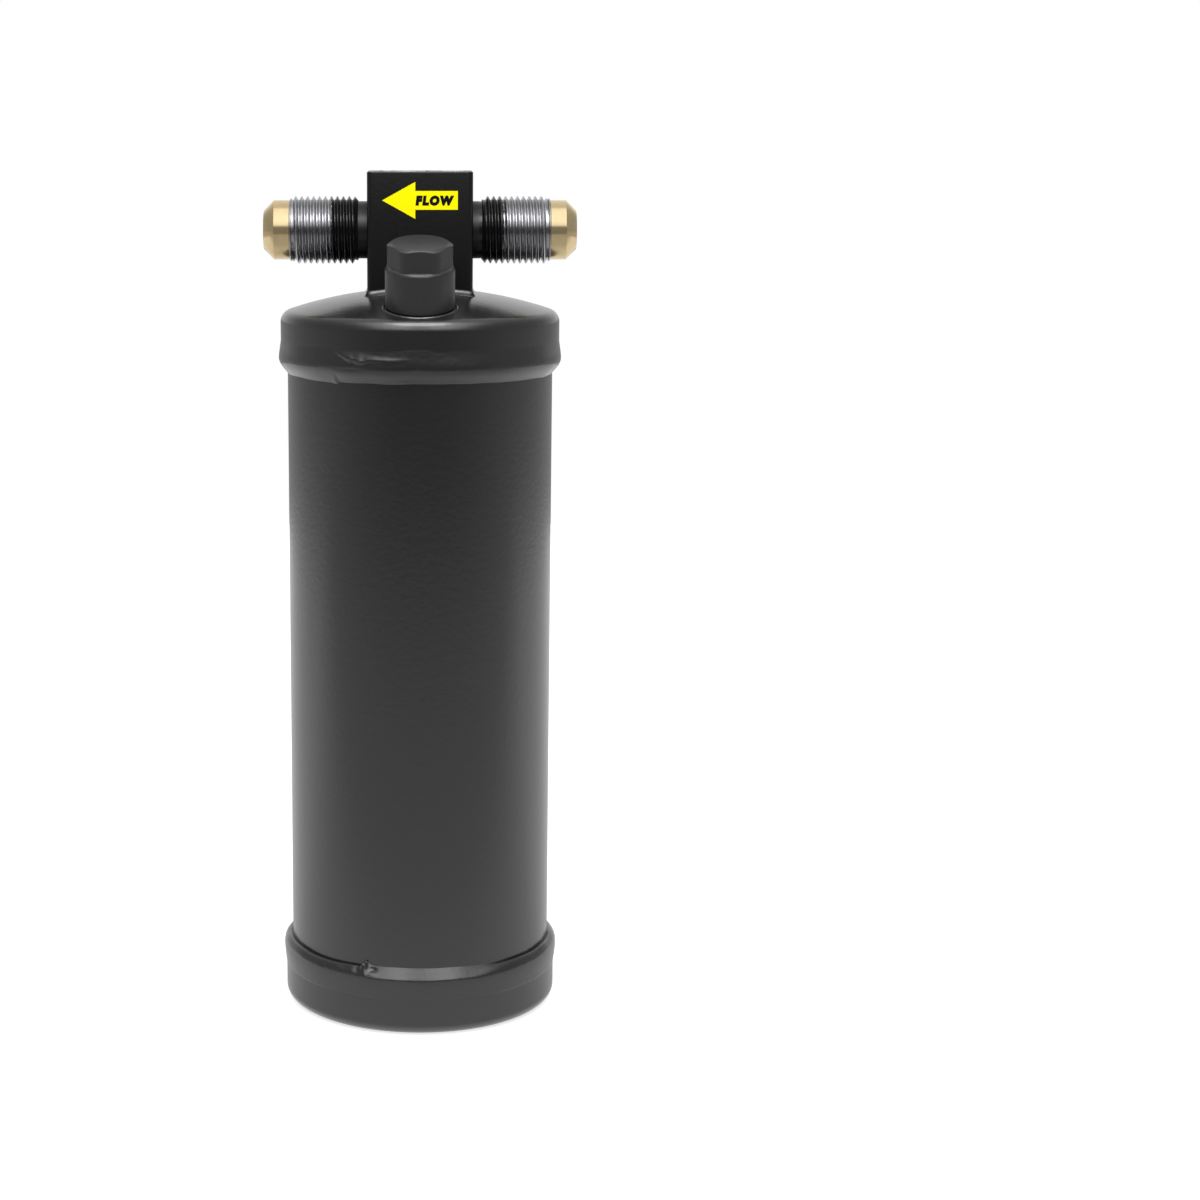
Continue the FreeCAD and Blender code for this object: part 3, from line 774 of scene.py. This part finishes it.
# A bead over a head's rim. Heights count from the rim towards the tube's middle.
# At a turn of 0 degrees a bead is at the front, and turns grow towards the right.
topBead = {
    "round": [(-2.6, 33.22), (-1.9, 33.33), (-1.2, 33.41), (-0.4, 33.51), (0.5, 33.64),
              (1.4, 33.76), (2.3, 33.83), (2.9, 33.80), (3.5, 33.62), (4.1, 33.28),
              (4.7, 32.83), (5.3, 32.33), (5.8, 31.90), (6.2, 31.60)],
    "wander": 0.05, "drift": 0.20, "ripple": 0.022, "seed": 3.1,
    # turn, height, half width in degrees, half height and rise of each lump or hollow
    "lumps": [(-29.0, 2.7, 6.0, 0.26, -0.13), (-22.6, 0.4, 0.7, 0.30, -0.16),
              (-27.0, -0.3, 1.0, 0.25, -0.08)],
    # A fold where the bead was started: at each turn the heights between which it stands out,
    # and how far
    "fold": [(-38.0, -1.65, -1.55, 0.0), (-35.0, -1.7, -1.1, 0.22), (-29.5, -1.6, 0.3, 0.62),
             (-25.0, -1.3, 0.9, 0.50), (-22.3, -1.0, 0.95, 0.34), (-21.4, -0.6, 0.75, 0.30),
             (-12.0, -0.15, 0.5, 0.17), (-5.0, 0.1, 0.35, 0.06), (-2.0, 0.2, 0.25, 0.0)],
    "lips": [(-36.5, 9.0, 0.60)],     # turn where a lap ends, how far it reaches back and down
    "peaks": [],
}
bottomBead = {
    "round": [(-1.9, 33.20), (-1.65, 33.38), (-1.2, 33.48), (-0.1, 33.62), (0.9, 33.75),
              (1.9, 33.84), (2.9, 33.86), (3.7, 33.76), (4.4, 33.50), (5.0, 33.08),
              (5.38, 32.60), (5.45, 32.15), (5.35, 31.85), (5.4, 31.50)],
    "ledge": [(-1.9, 33.20), (-1.6, 33.36), (-1.1, 33.46), (-0.1, 33.62), (0.9, 33.76),
              (1.9, 33.85), (2.9, 33.86), (3.5, 33.79), (3.8, 33.60), (4.3, 33.10),
              (4.9, 32.55), (5.4, 32.05), (5.8, 31.75), (6.2, 31.45)],
    "ledgeFrom": -22.5, "ledgeRise": 2.0, "ledgeTo": 20.0, "ledgeFade": 26.0,
    "wander": 0.07, "drift": 0.22, "ripple": 0.030, "seed": 7.7,
    "lumps": [(-24.4, 5.7, 1.0, 0.80, 0.85), (-20.4, 5.0, 1.5, 0.22, -0.65),
              (-21.0, 4.2, 2.6, 0.28, 0.26), (-27.0, 4.6, 1.6, 0.60, -0.30),
              (-33.0, 4.8, 3.0, 0.50, -0.25)],
    "fold": [],
    "lips": [],
    "peaks": [(-24.2, 1.4, 1.2)],     # turn, half width in degrees and height of a tip of weld
}
bead = {
    "around": 480,
    "back": 31.0,       # the hidden side, inside the steel
    "limit": 33.9,      # lumps stand out no further
    "wanderSize": 9.0, "rippleSize": 1.6, "driftSize": 7.0,
    "foldFade": 0.3,
    "peakFade": (4.0, 5.6), "lipFade": (3.5, 6.0),   # heights at which these set in
}


def bump(value, width):
    return math.exp(-(value / width) ** 2)


def fade(value, start, end):
    # From 0 at start to 1 at end
    share = min(max((value - start) / (end - start), 0), 1)
    return share * share * (3 - 2 * share)


def halved(outline):
    # The outline with a point more in the middle of each stretch
    points = [outline[0]]
    for low, high in zip(outline, outline[1:]):
        points += [((low[0] + high[0]) / 2, (low[1] + high[1]) / 2), high]
    return points


def foldRise(front, step, fold):
    # How far the fold stands out at a place: it grows down its face and drops off under it
    for before, after in zip(fold, fold[1:]):
        if before[0] <= front < after[0]:
            share = (front - before[0]) / (after[0] - before[0])
            top, bottom, rise = (a + share * (b - a) for a, b in zip(before[1:], after[1:]))
            down = min(max((step - top) / (bottom - top), 0), 1)
            return rise * down * (1 - fade(step, bottom, bottom + bead["foldFade"]))
    return 0


def makeBead(name, rim, way, given):
    rounded = halved(given["round"])
    ledge = halved(given["ledge"]) if "ledge" in given else rounded
    last = len(rounded)
    seed = given["seed"]

    def place(turn, ring):
        point = ring if ring < last else (last - 1 if ring == last else 0)
        front = math.degrees(math.atan2(math.cos(turn), -math.sin(turn)))
        flat = 0
        if "ledge" in given:
            flat = fade(front, given["ledgeFrom"] - given["ledgeRise"], given["ledgeFrom"])
            flat *= 1 - fade(front, given["ledgeTo"], given["ledgeTo"] + given["ledgeFade"])
        step = rounded[point][0] + flat * (ledge[point][0] - rounded[point][0])
        radius = rounded[point][1] + flat * (ledge[point][1] - rounded[point][1])
        if ring >= last:
            return bead["back"] * math.cos(turn), bead["back"] * math.sin(turn), rim + way * step
        x, y = radius * math.cos(turn), radius * math.sin(turn)
        radius += given["wander"] * wave((x, y, step * 2), bead["wanderSize"], seed)
        radius += given["ripple"] * wave((x * 2, y * 2, step * 2), bead["rippleSize"], seed + 9)
        for lumpTurn, lumpStep, halfTurn, halfStep, rise in given["lumps"]:
            radius += rise * bump(front - lumpTurn, halfTurn) * bump(step - lumpStep, halfStep)
        radius = min(radius, bead["limit"]) + foldRise(front, step, given["fold"])
        for peakTurn, halfTurn, height in given["peaks"]:
            step += height * bump(front - peakTurn, halfTurn) * fade(step, *bead["peakFade"])
        step += given["drift"] * wave((x, y, 0), bead["driftSize"], seed + 5)
        for lipTurn, lipBack, lipDrop in given["lips"]:
            if front < lipTurn:
                step += lipDrop * math.exp((front - lipTurn) / lipBack) * fade(step, *bead["lipFade"])
        return radius * math.cos(turn), radius * math.sin(turn), rim + way * step

    return shapeSleeve(name, bead["around"], last + 2, place)


def makeShell():
    for piece, node in (
            (makeTube(), "shell_tube"), (makeBottomHead(), "bottom_head"),
            (makeTopHead(), "top_head"),
            (makeBead("bottomBead", bottomRim, 1, bottomBead), "bottom_weld"),
            (makeBead("topBead", topRim, -1, topBead), "top_weld"),
            (makeHeaderWeld(), "header_weld")):
        finishPiece(piece, "canPaint", node)
    print("shell made")


# ---- header ----

headerWeld = {
    # reach from the block's face and height over the dome, from the block to the dome
    "outline": [(-0.25, 1.12), (0.02, 1.10), (0.22, 1.04), (0.38, 0.92), (0.48, 0.76), (0.60, 0.58),
                (0.80, 0.38), (1.05, 0.20), (1.35, 0.06), (1.60, -0.25)],
    "hidden": 0.2,         # how far its inner edge lies under the outer one
    "around": 320,
    "sideReach": 0.45,     # share of that reach at the block's port sides
    "wander": 0.10, "wanderSize": 4.0, "ripple": 0.07, "rippleSize": 1.1,
}


def roundedRectangle(turn, halfX, halfY, corner):
    # The point of a rounded rectangle that a ray from its middle meets
    c, s = math.cos(turn), math.sin(turn)
    reach = min(halfX / max(abs(c), 1e-9), halfY / max(abs(s), 1e-9))
    x, y = abs(reach * c), abs(reach * s)
    innerX, innerY = halfX - corner, halfY - corner
    if x > innerX and y > innerY:
        # Meets the corner's circle
        along = innerX * abs(c) + innerY * abs(s)
        off = innerX * innerX + innerY * innerY - corner * corner
        reach = along + math.sqrt(max(along * along - off, 0))
        x, y = reach * abs(c), reach * abs(s)
    return math.copysign(x, c), math.copysign(y, s)


def makeHeaderWeld():
    given = headerWeld
    outline = given["outline"] + [(given["outline"][0][0], given["outline"][-1][1] - given["hidden"])]
    halfX, halfY = block["width"] / 2, block["depth"] / 2

    def place(turn, ring):
        reach, height = outline[ring]
        side = reach * given["sideReach"] if reach > 0 else reach
        x, y = roundedRectangle(turn, halfX + side, halfY + reach, block["corner"])
        if 0 < ring < len(outline) - 2:
            height += given["wander"] * wave((x, y, height), given["wanderSize"], 2.2)
            height += given["ripple"] * wave((x, y, height), given["rippleSize"], 6.4)
        return x, y, crownHeight(x, y) + height

    return shapeSleeve("headerWeld", given["around"], len(outline), place)


def makeHeader():
    low = crownHeight(block["width"] / 2, block["depth"] / 2) - block["sink"]
    deselect()
    bpy.ops.mesh.primitive_cube_add(size=1, location=(0, 0, (low + blockTop) / 2 * mm))
    piece = namePiece("headerBlock")
    piece.scale = (block["width"] * mm, block["depth"] * mm, (blockTop - low) * mm)
    bpy.ops.object.transform_apply()
    roundEdges(piece, upright, block["corner"], 8)
    roundEdges(piece, lambda a, b: min(a.z, b.z) > (blockTop - 0.01) * mm, block["edge"], 4)

    under = low - 2
    dome = block["domeReach"]
    ball = turnPiece("ball", [(0, under), (dome, under)]
                     + [(r, crownHeight(r, 0)) for r in range(dome, -1, -2)], 128)
    combine(piece, ball)
    reach = block["width"] / 2
    for way, start in ((1, block["passageEnd"]), (-1, -block["outletEnd"])):
        toPort = placeAt(0, 0, portHeight, way * 90, "Y")
        for radius, deep in ((block["passage"], start), (block["socket"], reach - block["socketDepth"])):
            drill = addRod(radius, deep, reach + 1)
            setPlace(drill, toPort)
            combine(piece, drill)
    offset = -block["sightOffset"]
    drills = [(block["pickup"], under, crownTop + block["pickupSocket"], 0, 0),
              (block["throat"], under, portHeight, 0, 0),
              (block["viewBore"], portHeight, blockTop, offset, 0),
              (block["ringHole"], blockTop - block["ringHoleDepth"], blockTop + 1, offset, 0),
              (block["spotface"], blockTop - block["spotfaceDepth"], blockTop + 1, offset, 0)]
    for side in (-1, 1):
        drills.append((block["drop"], under, portHeight, block["dropOffset"],
                       side * block["dropPitch"] / 2))
    for drill in drills:
        combine(piece, addRod(*drill, 96))
    smooth(piece, 30)
    finishPiece(piece, "blockPaint", "header_block")
    print("header made")


# ---- threads, ports and noses ----

thread = {"flank": 30, "crestRound": 0.05, "crestRise": 0.03, "crestFlat": 0.04}


def cutThread(name, root, crest, pitch, low, high, steps):
    # One V of the thread wound up, then trimmed to its ends, where it runs down to the root
    flank = (crest - root) * math.tan(math.radians(thread["flank"]))
    flat = (pitch - 2 * flank) / 2
    inner, rise, along = crest - thread["crestRound"], thread["crestRise"], thread["crestFlat"]
    profile = [(root, 0), (root, flat * 0.5), (inner, flat * 0.5 + flank - rise),
               (crest, flat * 0.5 + flank + along), (crest, flat * 1.5 + flank - along),
               (inner, flat * 1.5 + flank + rise), (root, flat * 1.5 + 2 * flank), (root, pitch)]
    piece = drawOutline(name, [(r, low - 2 * pitch + h) for r, h in profile])
    windUp(piece, pitch, math.ceil((high - low) / pitch) + 3, steps)
    for vertex in piece.data.vertices:
        radius = math.hypot(vertex.co.x, vertex.co.y) / mm
        height = min(max(vertex.co.z / mm, low), high)
        allowed = root + min(height - low, high - height)
        share = min(radius, allowed) / radius
        vertex.co = (vertex.co.x * share, vertex.co.y * share, height * mm)
    mergePoints()
    leaveEdit()
    return piece


def pullRing(piece, height, steps):
    # From the open ring at a height, pulls new rings through (radius, height) steps
    bpy.ops.object.mode_set(mode="EDIT")
    bpy.ops.mesh.select_all(action="DESELECT")
    leaveEdit()
    radius = 0
    for vertex in piece.data.vertices:
        if abs(vertex.co.z - height * mm) < tiny:
            vertex.select = True
            radius = math.hypot(vertex.co.x, vertex.co.y) / mm
    bpy.ops.object.mode_set(mode="EDIT")
    for newRadius, newHeight in steps:
        share = newRadius / radius
        bpy.ops.mesh.extrude_region_move(
            TRANSFORM_OT_translate={"value": (0, 0, (newHeight - height) * mm)})
        bpy.ops.transform.resize(value=(share, share, 1), center_override=(0, 0, 0))
        radius, height = newRadius, newHeight
    leaveEdit()


def closeStem(piece):
    # Bridges the two open rings that are left
    bpy.ops.object.mode_set(mode="EDIT")
    bpy.ops.mesh.select_mode(type="EDGE")
    bpy.ops.mesh.select_all(action="DESELECT")
    bpy.ops.mesh.select_non_manifold(extend=False, use_boundary=True, use_multi_face=False,
                                     use_non_contiguous=False, use_verts=False)
    bpy.ops.mesh.bridge_edge_loops()
    leaveEdit()
    cleanUp()
    smooth(piece, 25)


def makeFitting(name):
    low = port["neckLength"]
    high = low + port["threadLength"]
    start = high - port["collarLength"]
    collar, rim, edge = port["collar"], port["collarRim"], port["collarEdge"]
    foot, floor = -port["shankLength"], high - port["noseSocketDepth"]
    piece = cutThread(name, port["threadRoot"], port["threadRadius"], port["pitch"], low, start, 96)
    pullRing(piece, low, [(port["neck"], low), (port["neck"], 0), (port["shank"], 0),
                          (port["shank"], foot), (port["bore"], foot)])
    pullRing(piece, start, [(rim, start), (collar, start + edge), (collar, high - edge), (rim, high),
                            (port["noseSocket"], high), (port["noseSocket"], floor),
                            (port["bore"], floor)])
    closeStem(piece)
    return piece


def makeNose(name):
    start = port["neckLength"] + port["threadLength"]
    end = start + port["noseLength"]
    shank = start - port["noseShankLength"]
    radius, chamfer, bore = port["noseRadius"], port["noseChamfer"], port["noseBore"]
    mouth = port["noseMouth"]
    back, along, down = port["noseEdge"]
    outline = [(bore, shank), (port["noseShank"], shank), (port["noseShank"], start),
               (radius - back, start), (radius, start + back),
               (radius, end - chamfer - back), (radius - down, end - chamfer + along),
               (radius - chamfer + along, end - down), (radius - chamfer - back, end),
               (bore + mouth, end), (bore, end - mouth)]
    return turnPiece(name, outline, 128, 25)


def makePorts():
    for name, way in (("inlet", 1), ("outlet", -1)):
        toPort = placeAt(way * block["width"] / 2, 0, portHeight, way * 90, "Y")
        finishPiece(makeFitting(name + "Fitting"), "portSteel", name + "_fitting",
                    place=toPort)
        finishPiece(makeNose(name + "Nose"), "portBrass", name + "_nose", place=toPort)
    print("side ports made")


# ---- sight glass ----

sight = {
    "ringRadius": 5.25, "window": 3.4, "ringHeight": 3.1, "ringProud": 0.1, "chamfer": 0.35,
    "ringRound": 0.08, "glassThickness": 2.5, "glassEdge": 0.2,
}


def makeSightGlass():
    top = blockTop + sight["ringProud"]
    low = top - sight["ringHeight"]
    outside, inside, chamfer = sight["ringRadius"], sight["window"], sight["chamfer"]
    outline = [(inside, low), (outside, low), (outside, top - chamfer), (outside - chamfer, top),
               (inside + chamfer, top), (inside, top - chamfer)]
    ring = turnPiece("sightRing", outline, 96, 25)
    bevelEdges(ring, sight["ringRound"], 2, 25)
    shift = placeAt(-block["sightOffset"], 0, 0)
    setPlace(ring, shift)
    smooth(ring, 40)
    finishPiece(ring, "ringSteel", "sight_glass_ring")

    bottom, edge = low - sight["glassThickness"], sight["glassEdge"]
    outline = [(0, bottom), (outside - edge, bottom), (outside, bottom + edge), (outside, low - edge),
               (outside - edge, low), (0, low)]
    finishPiece(turnPiece("sightGlass", outline, 96, 25), "sightGlass", "sight_glass",
                place=shift)


# ---- service ports and caps ----

cap = {
    "radius": 8.05, "length": 15.2, "skirt": 9.9, "flats": 13.9, "cornerRound": 1.5,
    # the skirt's rounded top edge: inward and downward from the shoulder
    "shoulderSteps": [(1.0, 0.0), (0.72, 0.10), (0.42, 0.28), (0.18, 0.52), (0.04, 0.78), (0.0, 1.0)],
    "chamferDrop": 0.9, "chamferAngle": 30.0, "lip": 0.45, "mouth": 7.35, "mouthDepth": 2.2,
    "bore": 5.6, "ceiling": 11.9, "bottom": -0.12, "edgeRound": 0.20,
}


def makeCap(name):
    radius, bottom, lip = cap["radius"], cap["bottom"], cap["lip"]
    top = bottom + cap["length"]
    shoulder = bottom + cap["skirt"]
    outline = [(0, bottom)]
    outline += arcPoints((radius - lip, bottom + lip), lip, -90, 0, 6)
    outline += [(radius - inward, shoulder - down) for inward, down in reversed(cap["shoulderSteps"])]
    outline.append((0, shoulder))
    piece = turnPiece(name, outline, 128)

    corner = cap["flats"] / math.sqrt(3)
    hexagon = addRod(corner, shoulder - 2, top, vertices=6)
    bpy.ops.object.transform_apply()
    # Corners on the X axis, flats at the front and the back
    hexagon.data.transform(Matrix.Rotation(math.pi / 6, 4, "Z"))
    roundEdges(hexagon, upright, cap["cornerRound"], 8)
    chamfer = top - cap["chamferDrop"]
    table = corner - cap["chamferDrop"] / math.tan(math.radians(cap["chamferAngle"]))
    clear = corner + 0.5
    envelope = turnPiece("envelope", [(0, shoulder - 3), (clear, shoulder - 3), (clear, chamfer),
                                      (corner, chamfer), (table, top), (0, top)], 128)
    combine(hexagon, envelope, "INTERSECT")
    combine(piece, hexagon, "UNION")
    for hole, end in ((cap["bore"], cap["ceiling"]), (cap["mouth"], bottom + cap["mouthDepth"])):
        combine(piece, addRod(hole, bottom - 1, end, vertices=96))
    activate(piece)
    cleanUp()
    bevelEdges(piece, cap["edgeRound"], 3, 25)
    smooth(piece, 40)
    return piece


def makeStub(name):
    root, flange, spigot = service["threadRoot"], service["flange"], service["spigot"]
    low = service["flangeHeight"] + service["pitch"]
    high = service["length"]
    face, sink, foot = service["flangeHeight"], -service["flangeSink"], -service["spigotReach"]
    edge, mouth = service["flangeEdge"], service["mouth"]
    piece = cutThread(name, root, service["threadRadius"], service["pitch"], low, high, 64)
    pullRing(piece, low, [(root + 0.001, face), (flange - edge, face), (flange, face - edge),
                          (flange, sink), (spigot, sink), (spigot, foot), (service["throat"], foot),
                          (service["throat"], service["shoulder"] - service["shoulderFall"])])
    pullRing(piece, high, [(root - service["rim"], high), (service["bore"] + mouth, high),
                           (service["bore"], high - mouth), (service["bore"], service["shoulder"])])
    closeStem(piece)
    return piece


# The weld runs on under the cap's skirt and shows as a low ring round its foot
serviceWeld = {"outline": [(6.05, 0.75), (6.35, 0.78), (6.60, 0.62), (6.85, 0.34), (7.10, 0.10),
                           (7.40, 0.02), (7.90, -0.06), (8.12, 0.02), (8.20, 0.22), (8.34, 0.34),
                           (8.52, 0.31), (8.72, 0.16), (8.90, -0.10)],
               "hidden": -0.4, "around": 160, "wander": 0.04, "wanderSize": 1.6}


def makeServiceWeld(name, seed):
    given, crown = serviceWeld, shell["crown"]
    outline = given["outline"] + [(given["outline"][0][0], given["hidden"])]

    def place(turn, ring):
        radius, height = outline[ring]
        x, y = radius * math.cos(turn), radius * math.sin(turn)
        if 0 < ring < len(outline) - 2:
            height += given["wander"] * wave((x, y, 0), given["wanderSize"], seed)
        return x, y, height - crown + math.sqrt(crown ** 2 - radius * radius)

    return shapeSleeve(name, given["around"], len(outline), place)


valveSpring = {"low": 5.4, "high": 9.0, "radius": 1.1, "wire": 0.3, "turns": 3, "travel": 1.2}


def makeValveSpring(name, toPlace):
    # A ring of wire wound up between the core's floor and the pin's collar
    given = valveSpring
    length, half = given["high"] - given["low"], given["wire"] / 2
    deselect()
    bpy.ops.mesh.primitive_circle_add(
        vertices=12, radius=half * mm, rotation=(math.pi / 2, 0, 0),
        location=(given["radius"] * mm, 0, (given["low"] + half) * mm))
    piece = namePiece(name + "ValveSpring")
    bpy.ops.object.transform_apply()
    windUp(piece, (length - 2 * half) / given["turns"], given["turns"], 48)
    mergePoints()
    bpy.ops.mesh.fill_holes(sides=0)
    cleanUp()
    smooth(piece, 45)
    finishPiece(piece, "innerSteel", name + "_valve_spring", place=toPlace)
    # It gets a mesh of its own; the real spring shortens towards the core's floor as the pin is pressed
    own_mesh(piece)


def makeServicePorts():
    for name, seed in (("front", 1.3), ("rear", 4.9)):
        toPlace = portPlace(name)
        makeValveSpring(name, toPlace)
        finishPiece(makeCap(name + "Cap"), "capPaint", name + "_cap", name + "_cap",
                    toPlace)
        finishPiece(makeStub(name + "Stub"), "innerSteel", name + "_port_boss",
                    place=toPlace)
        finishPiece(makeServiceWeld(name + "Weld", seed), "canPaint",
                    name + "_port_weld", place=toPlace)
    print("service ports made")


# ---- printed arrow and letters ----

arrow = {
    "tip": -8.85, "tail": 8.85, "headLength": 7.75, "headHeight": 8.55, "shaftHeight": 4.35,
    "centre": 196.65, "thickness": 0.06, "edge": 0.02,
}
flowWord = {"text": "FLOW", "width": 9.1, "height": 2.38, "x": 3.48, "z": 196.6, "bold": 0.100,
            "slant": 0.12, "spacing": 1.32, "proud": 0.02}
inWord = {"text": "IN", "width": 5.1, "height": 5.0, "x": 7.8, "y": 0.5, "bold": 0.03,
          "slant": 0.0, "spacing": 1.0, "proud": 0.03}
wordThickness = 0.05


def makeArrow():
    # Drawn upright round the origin and thickened towards the front
    tip, tail = arrow["tip"], arrow["tail"]
    neck = tip + arrow["headLength"]
    half, shaft = arrow["headHeight"] / 2, arrow["shaftHeight"] / 2
    corners = [(tip, 0), (neck, -half), (neck, -shaft), (tail, -shaft),
               (tail, shaft), (neck, shaft), (neck, half)]
    piece = drawOutline("flowArrow", corners + corners[:1])
    mergePoints()
    bpy.ops.mesh.edge_face_add()
    bpy.ops.mesh.extrude_region_move(
        TRANSFORM_OT_translate={"value": (0, -arrow["thickness"] * mm, 0)})
    cleanUp()
    bevelEdges(piece, arrow["edge"], 1, 40)
    return piece


def makeWord(name, given, turn):
    # Fills a box of the given width and height, and is turned into place
    deselect()
    bpy.ops.object.text_add(location=(0, 0, 0))
    text = namePiece(name).data
    text.body = given["text"]
    text.align_x = "CENTER"
    text.align_y = "CENTER"
    text.offset = given["bold"]
    text.shear = given["slant"]
    text.space_character = given["spacing"]
    text.extrude = 0.5
    text.resolution_u = 6
    bpy.ops.object.convert(target="MESH")
    piece = bpy.context.object
    lows = [min(v.co[axis] for v in piece.data.vertices) for axis in range(3)]
    highs = [max(v.co[axis] for v in piece.data.vertices) for axis in range(3)]
    wanted = (given["width"], given["height"], wordThickness)
    scale = Matrix.Diagonal([want * mm / (high - low) for want, low, high in zip(wanted, lows, highs)]
                            + [1])
    middle = Vector([(low + high) / 2 for low, high in zip(lows, highs)])
    piece.data.transform(turn @ scale @ Matrix.Translation(-middle))
    cleanUp()
    return piece


def makePrints():
    finishPiece(makeArrow(), "arrowYellow",
                place=placeAt(0, -block["depth"] / 2, arrow["centre"]))
    half = wordThickness / 2
    faceY = -block["depth"] / 2 - arrow["thickness"] - flowWord["proud"] + half
    stand = placeAt(flowWord["x"], faceY, flowWord["z"], 90, "X")
    finishPiece(makeWord("flowWord", flowWord, stand), "letterBlack")
    faceZ = blockTop + inWord["proud"] - half
    lay = placeAt(inWord["x"], inWord["y"], faceZ, 90)
    finishPiece(makeWord("inWord", inWord, lay), "letterWhite")
    print("arrow and letters made")


# ---- inside, and putting it together ----

# The CAD's own inner pieces keep their shapes and get their finish here
insideFinishes = {
    "innerSteel": ["pickup_tube", "lower_plate", "upper_plate", "pack_spring",
                   "front_valve_pin", "rear_valve_pin"],
    "portBrass": ["strainer", "front_valve_core", "rear_valve_core"],
    "filterFelt": ["lower_pad", "upper_pad"],
    "desiccantBeads": ["desiccant"],
    "sealRubber": ["sight_glass_seal", "front_cap_seal", "rear_cap_seal"],
}


def dressInside():
    for material, nodes in insideFinishes.items():
        for node in nodes:
            dress(frame["nodes"][node], material)
    print("inside dressed")


makeCamera()
makeWorld()
makeFloor()
makeMaterials()
makeShell()
makeHeader()
makePorts()
makeSightGlass()
makeServicePorts()
makePrints()
dressInside()

bpy.context.scene.view_settings.view_transform = "Standard"
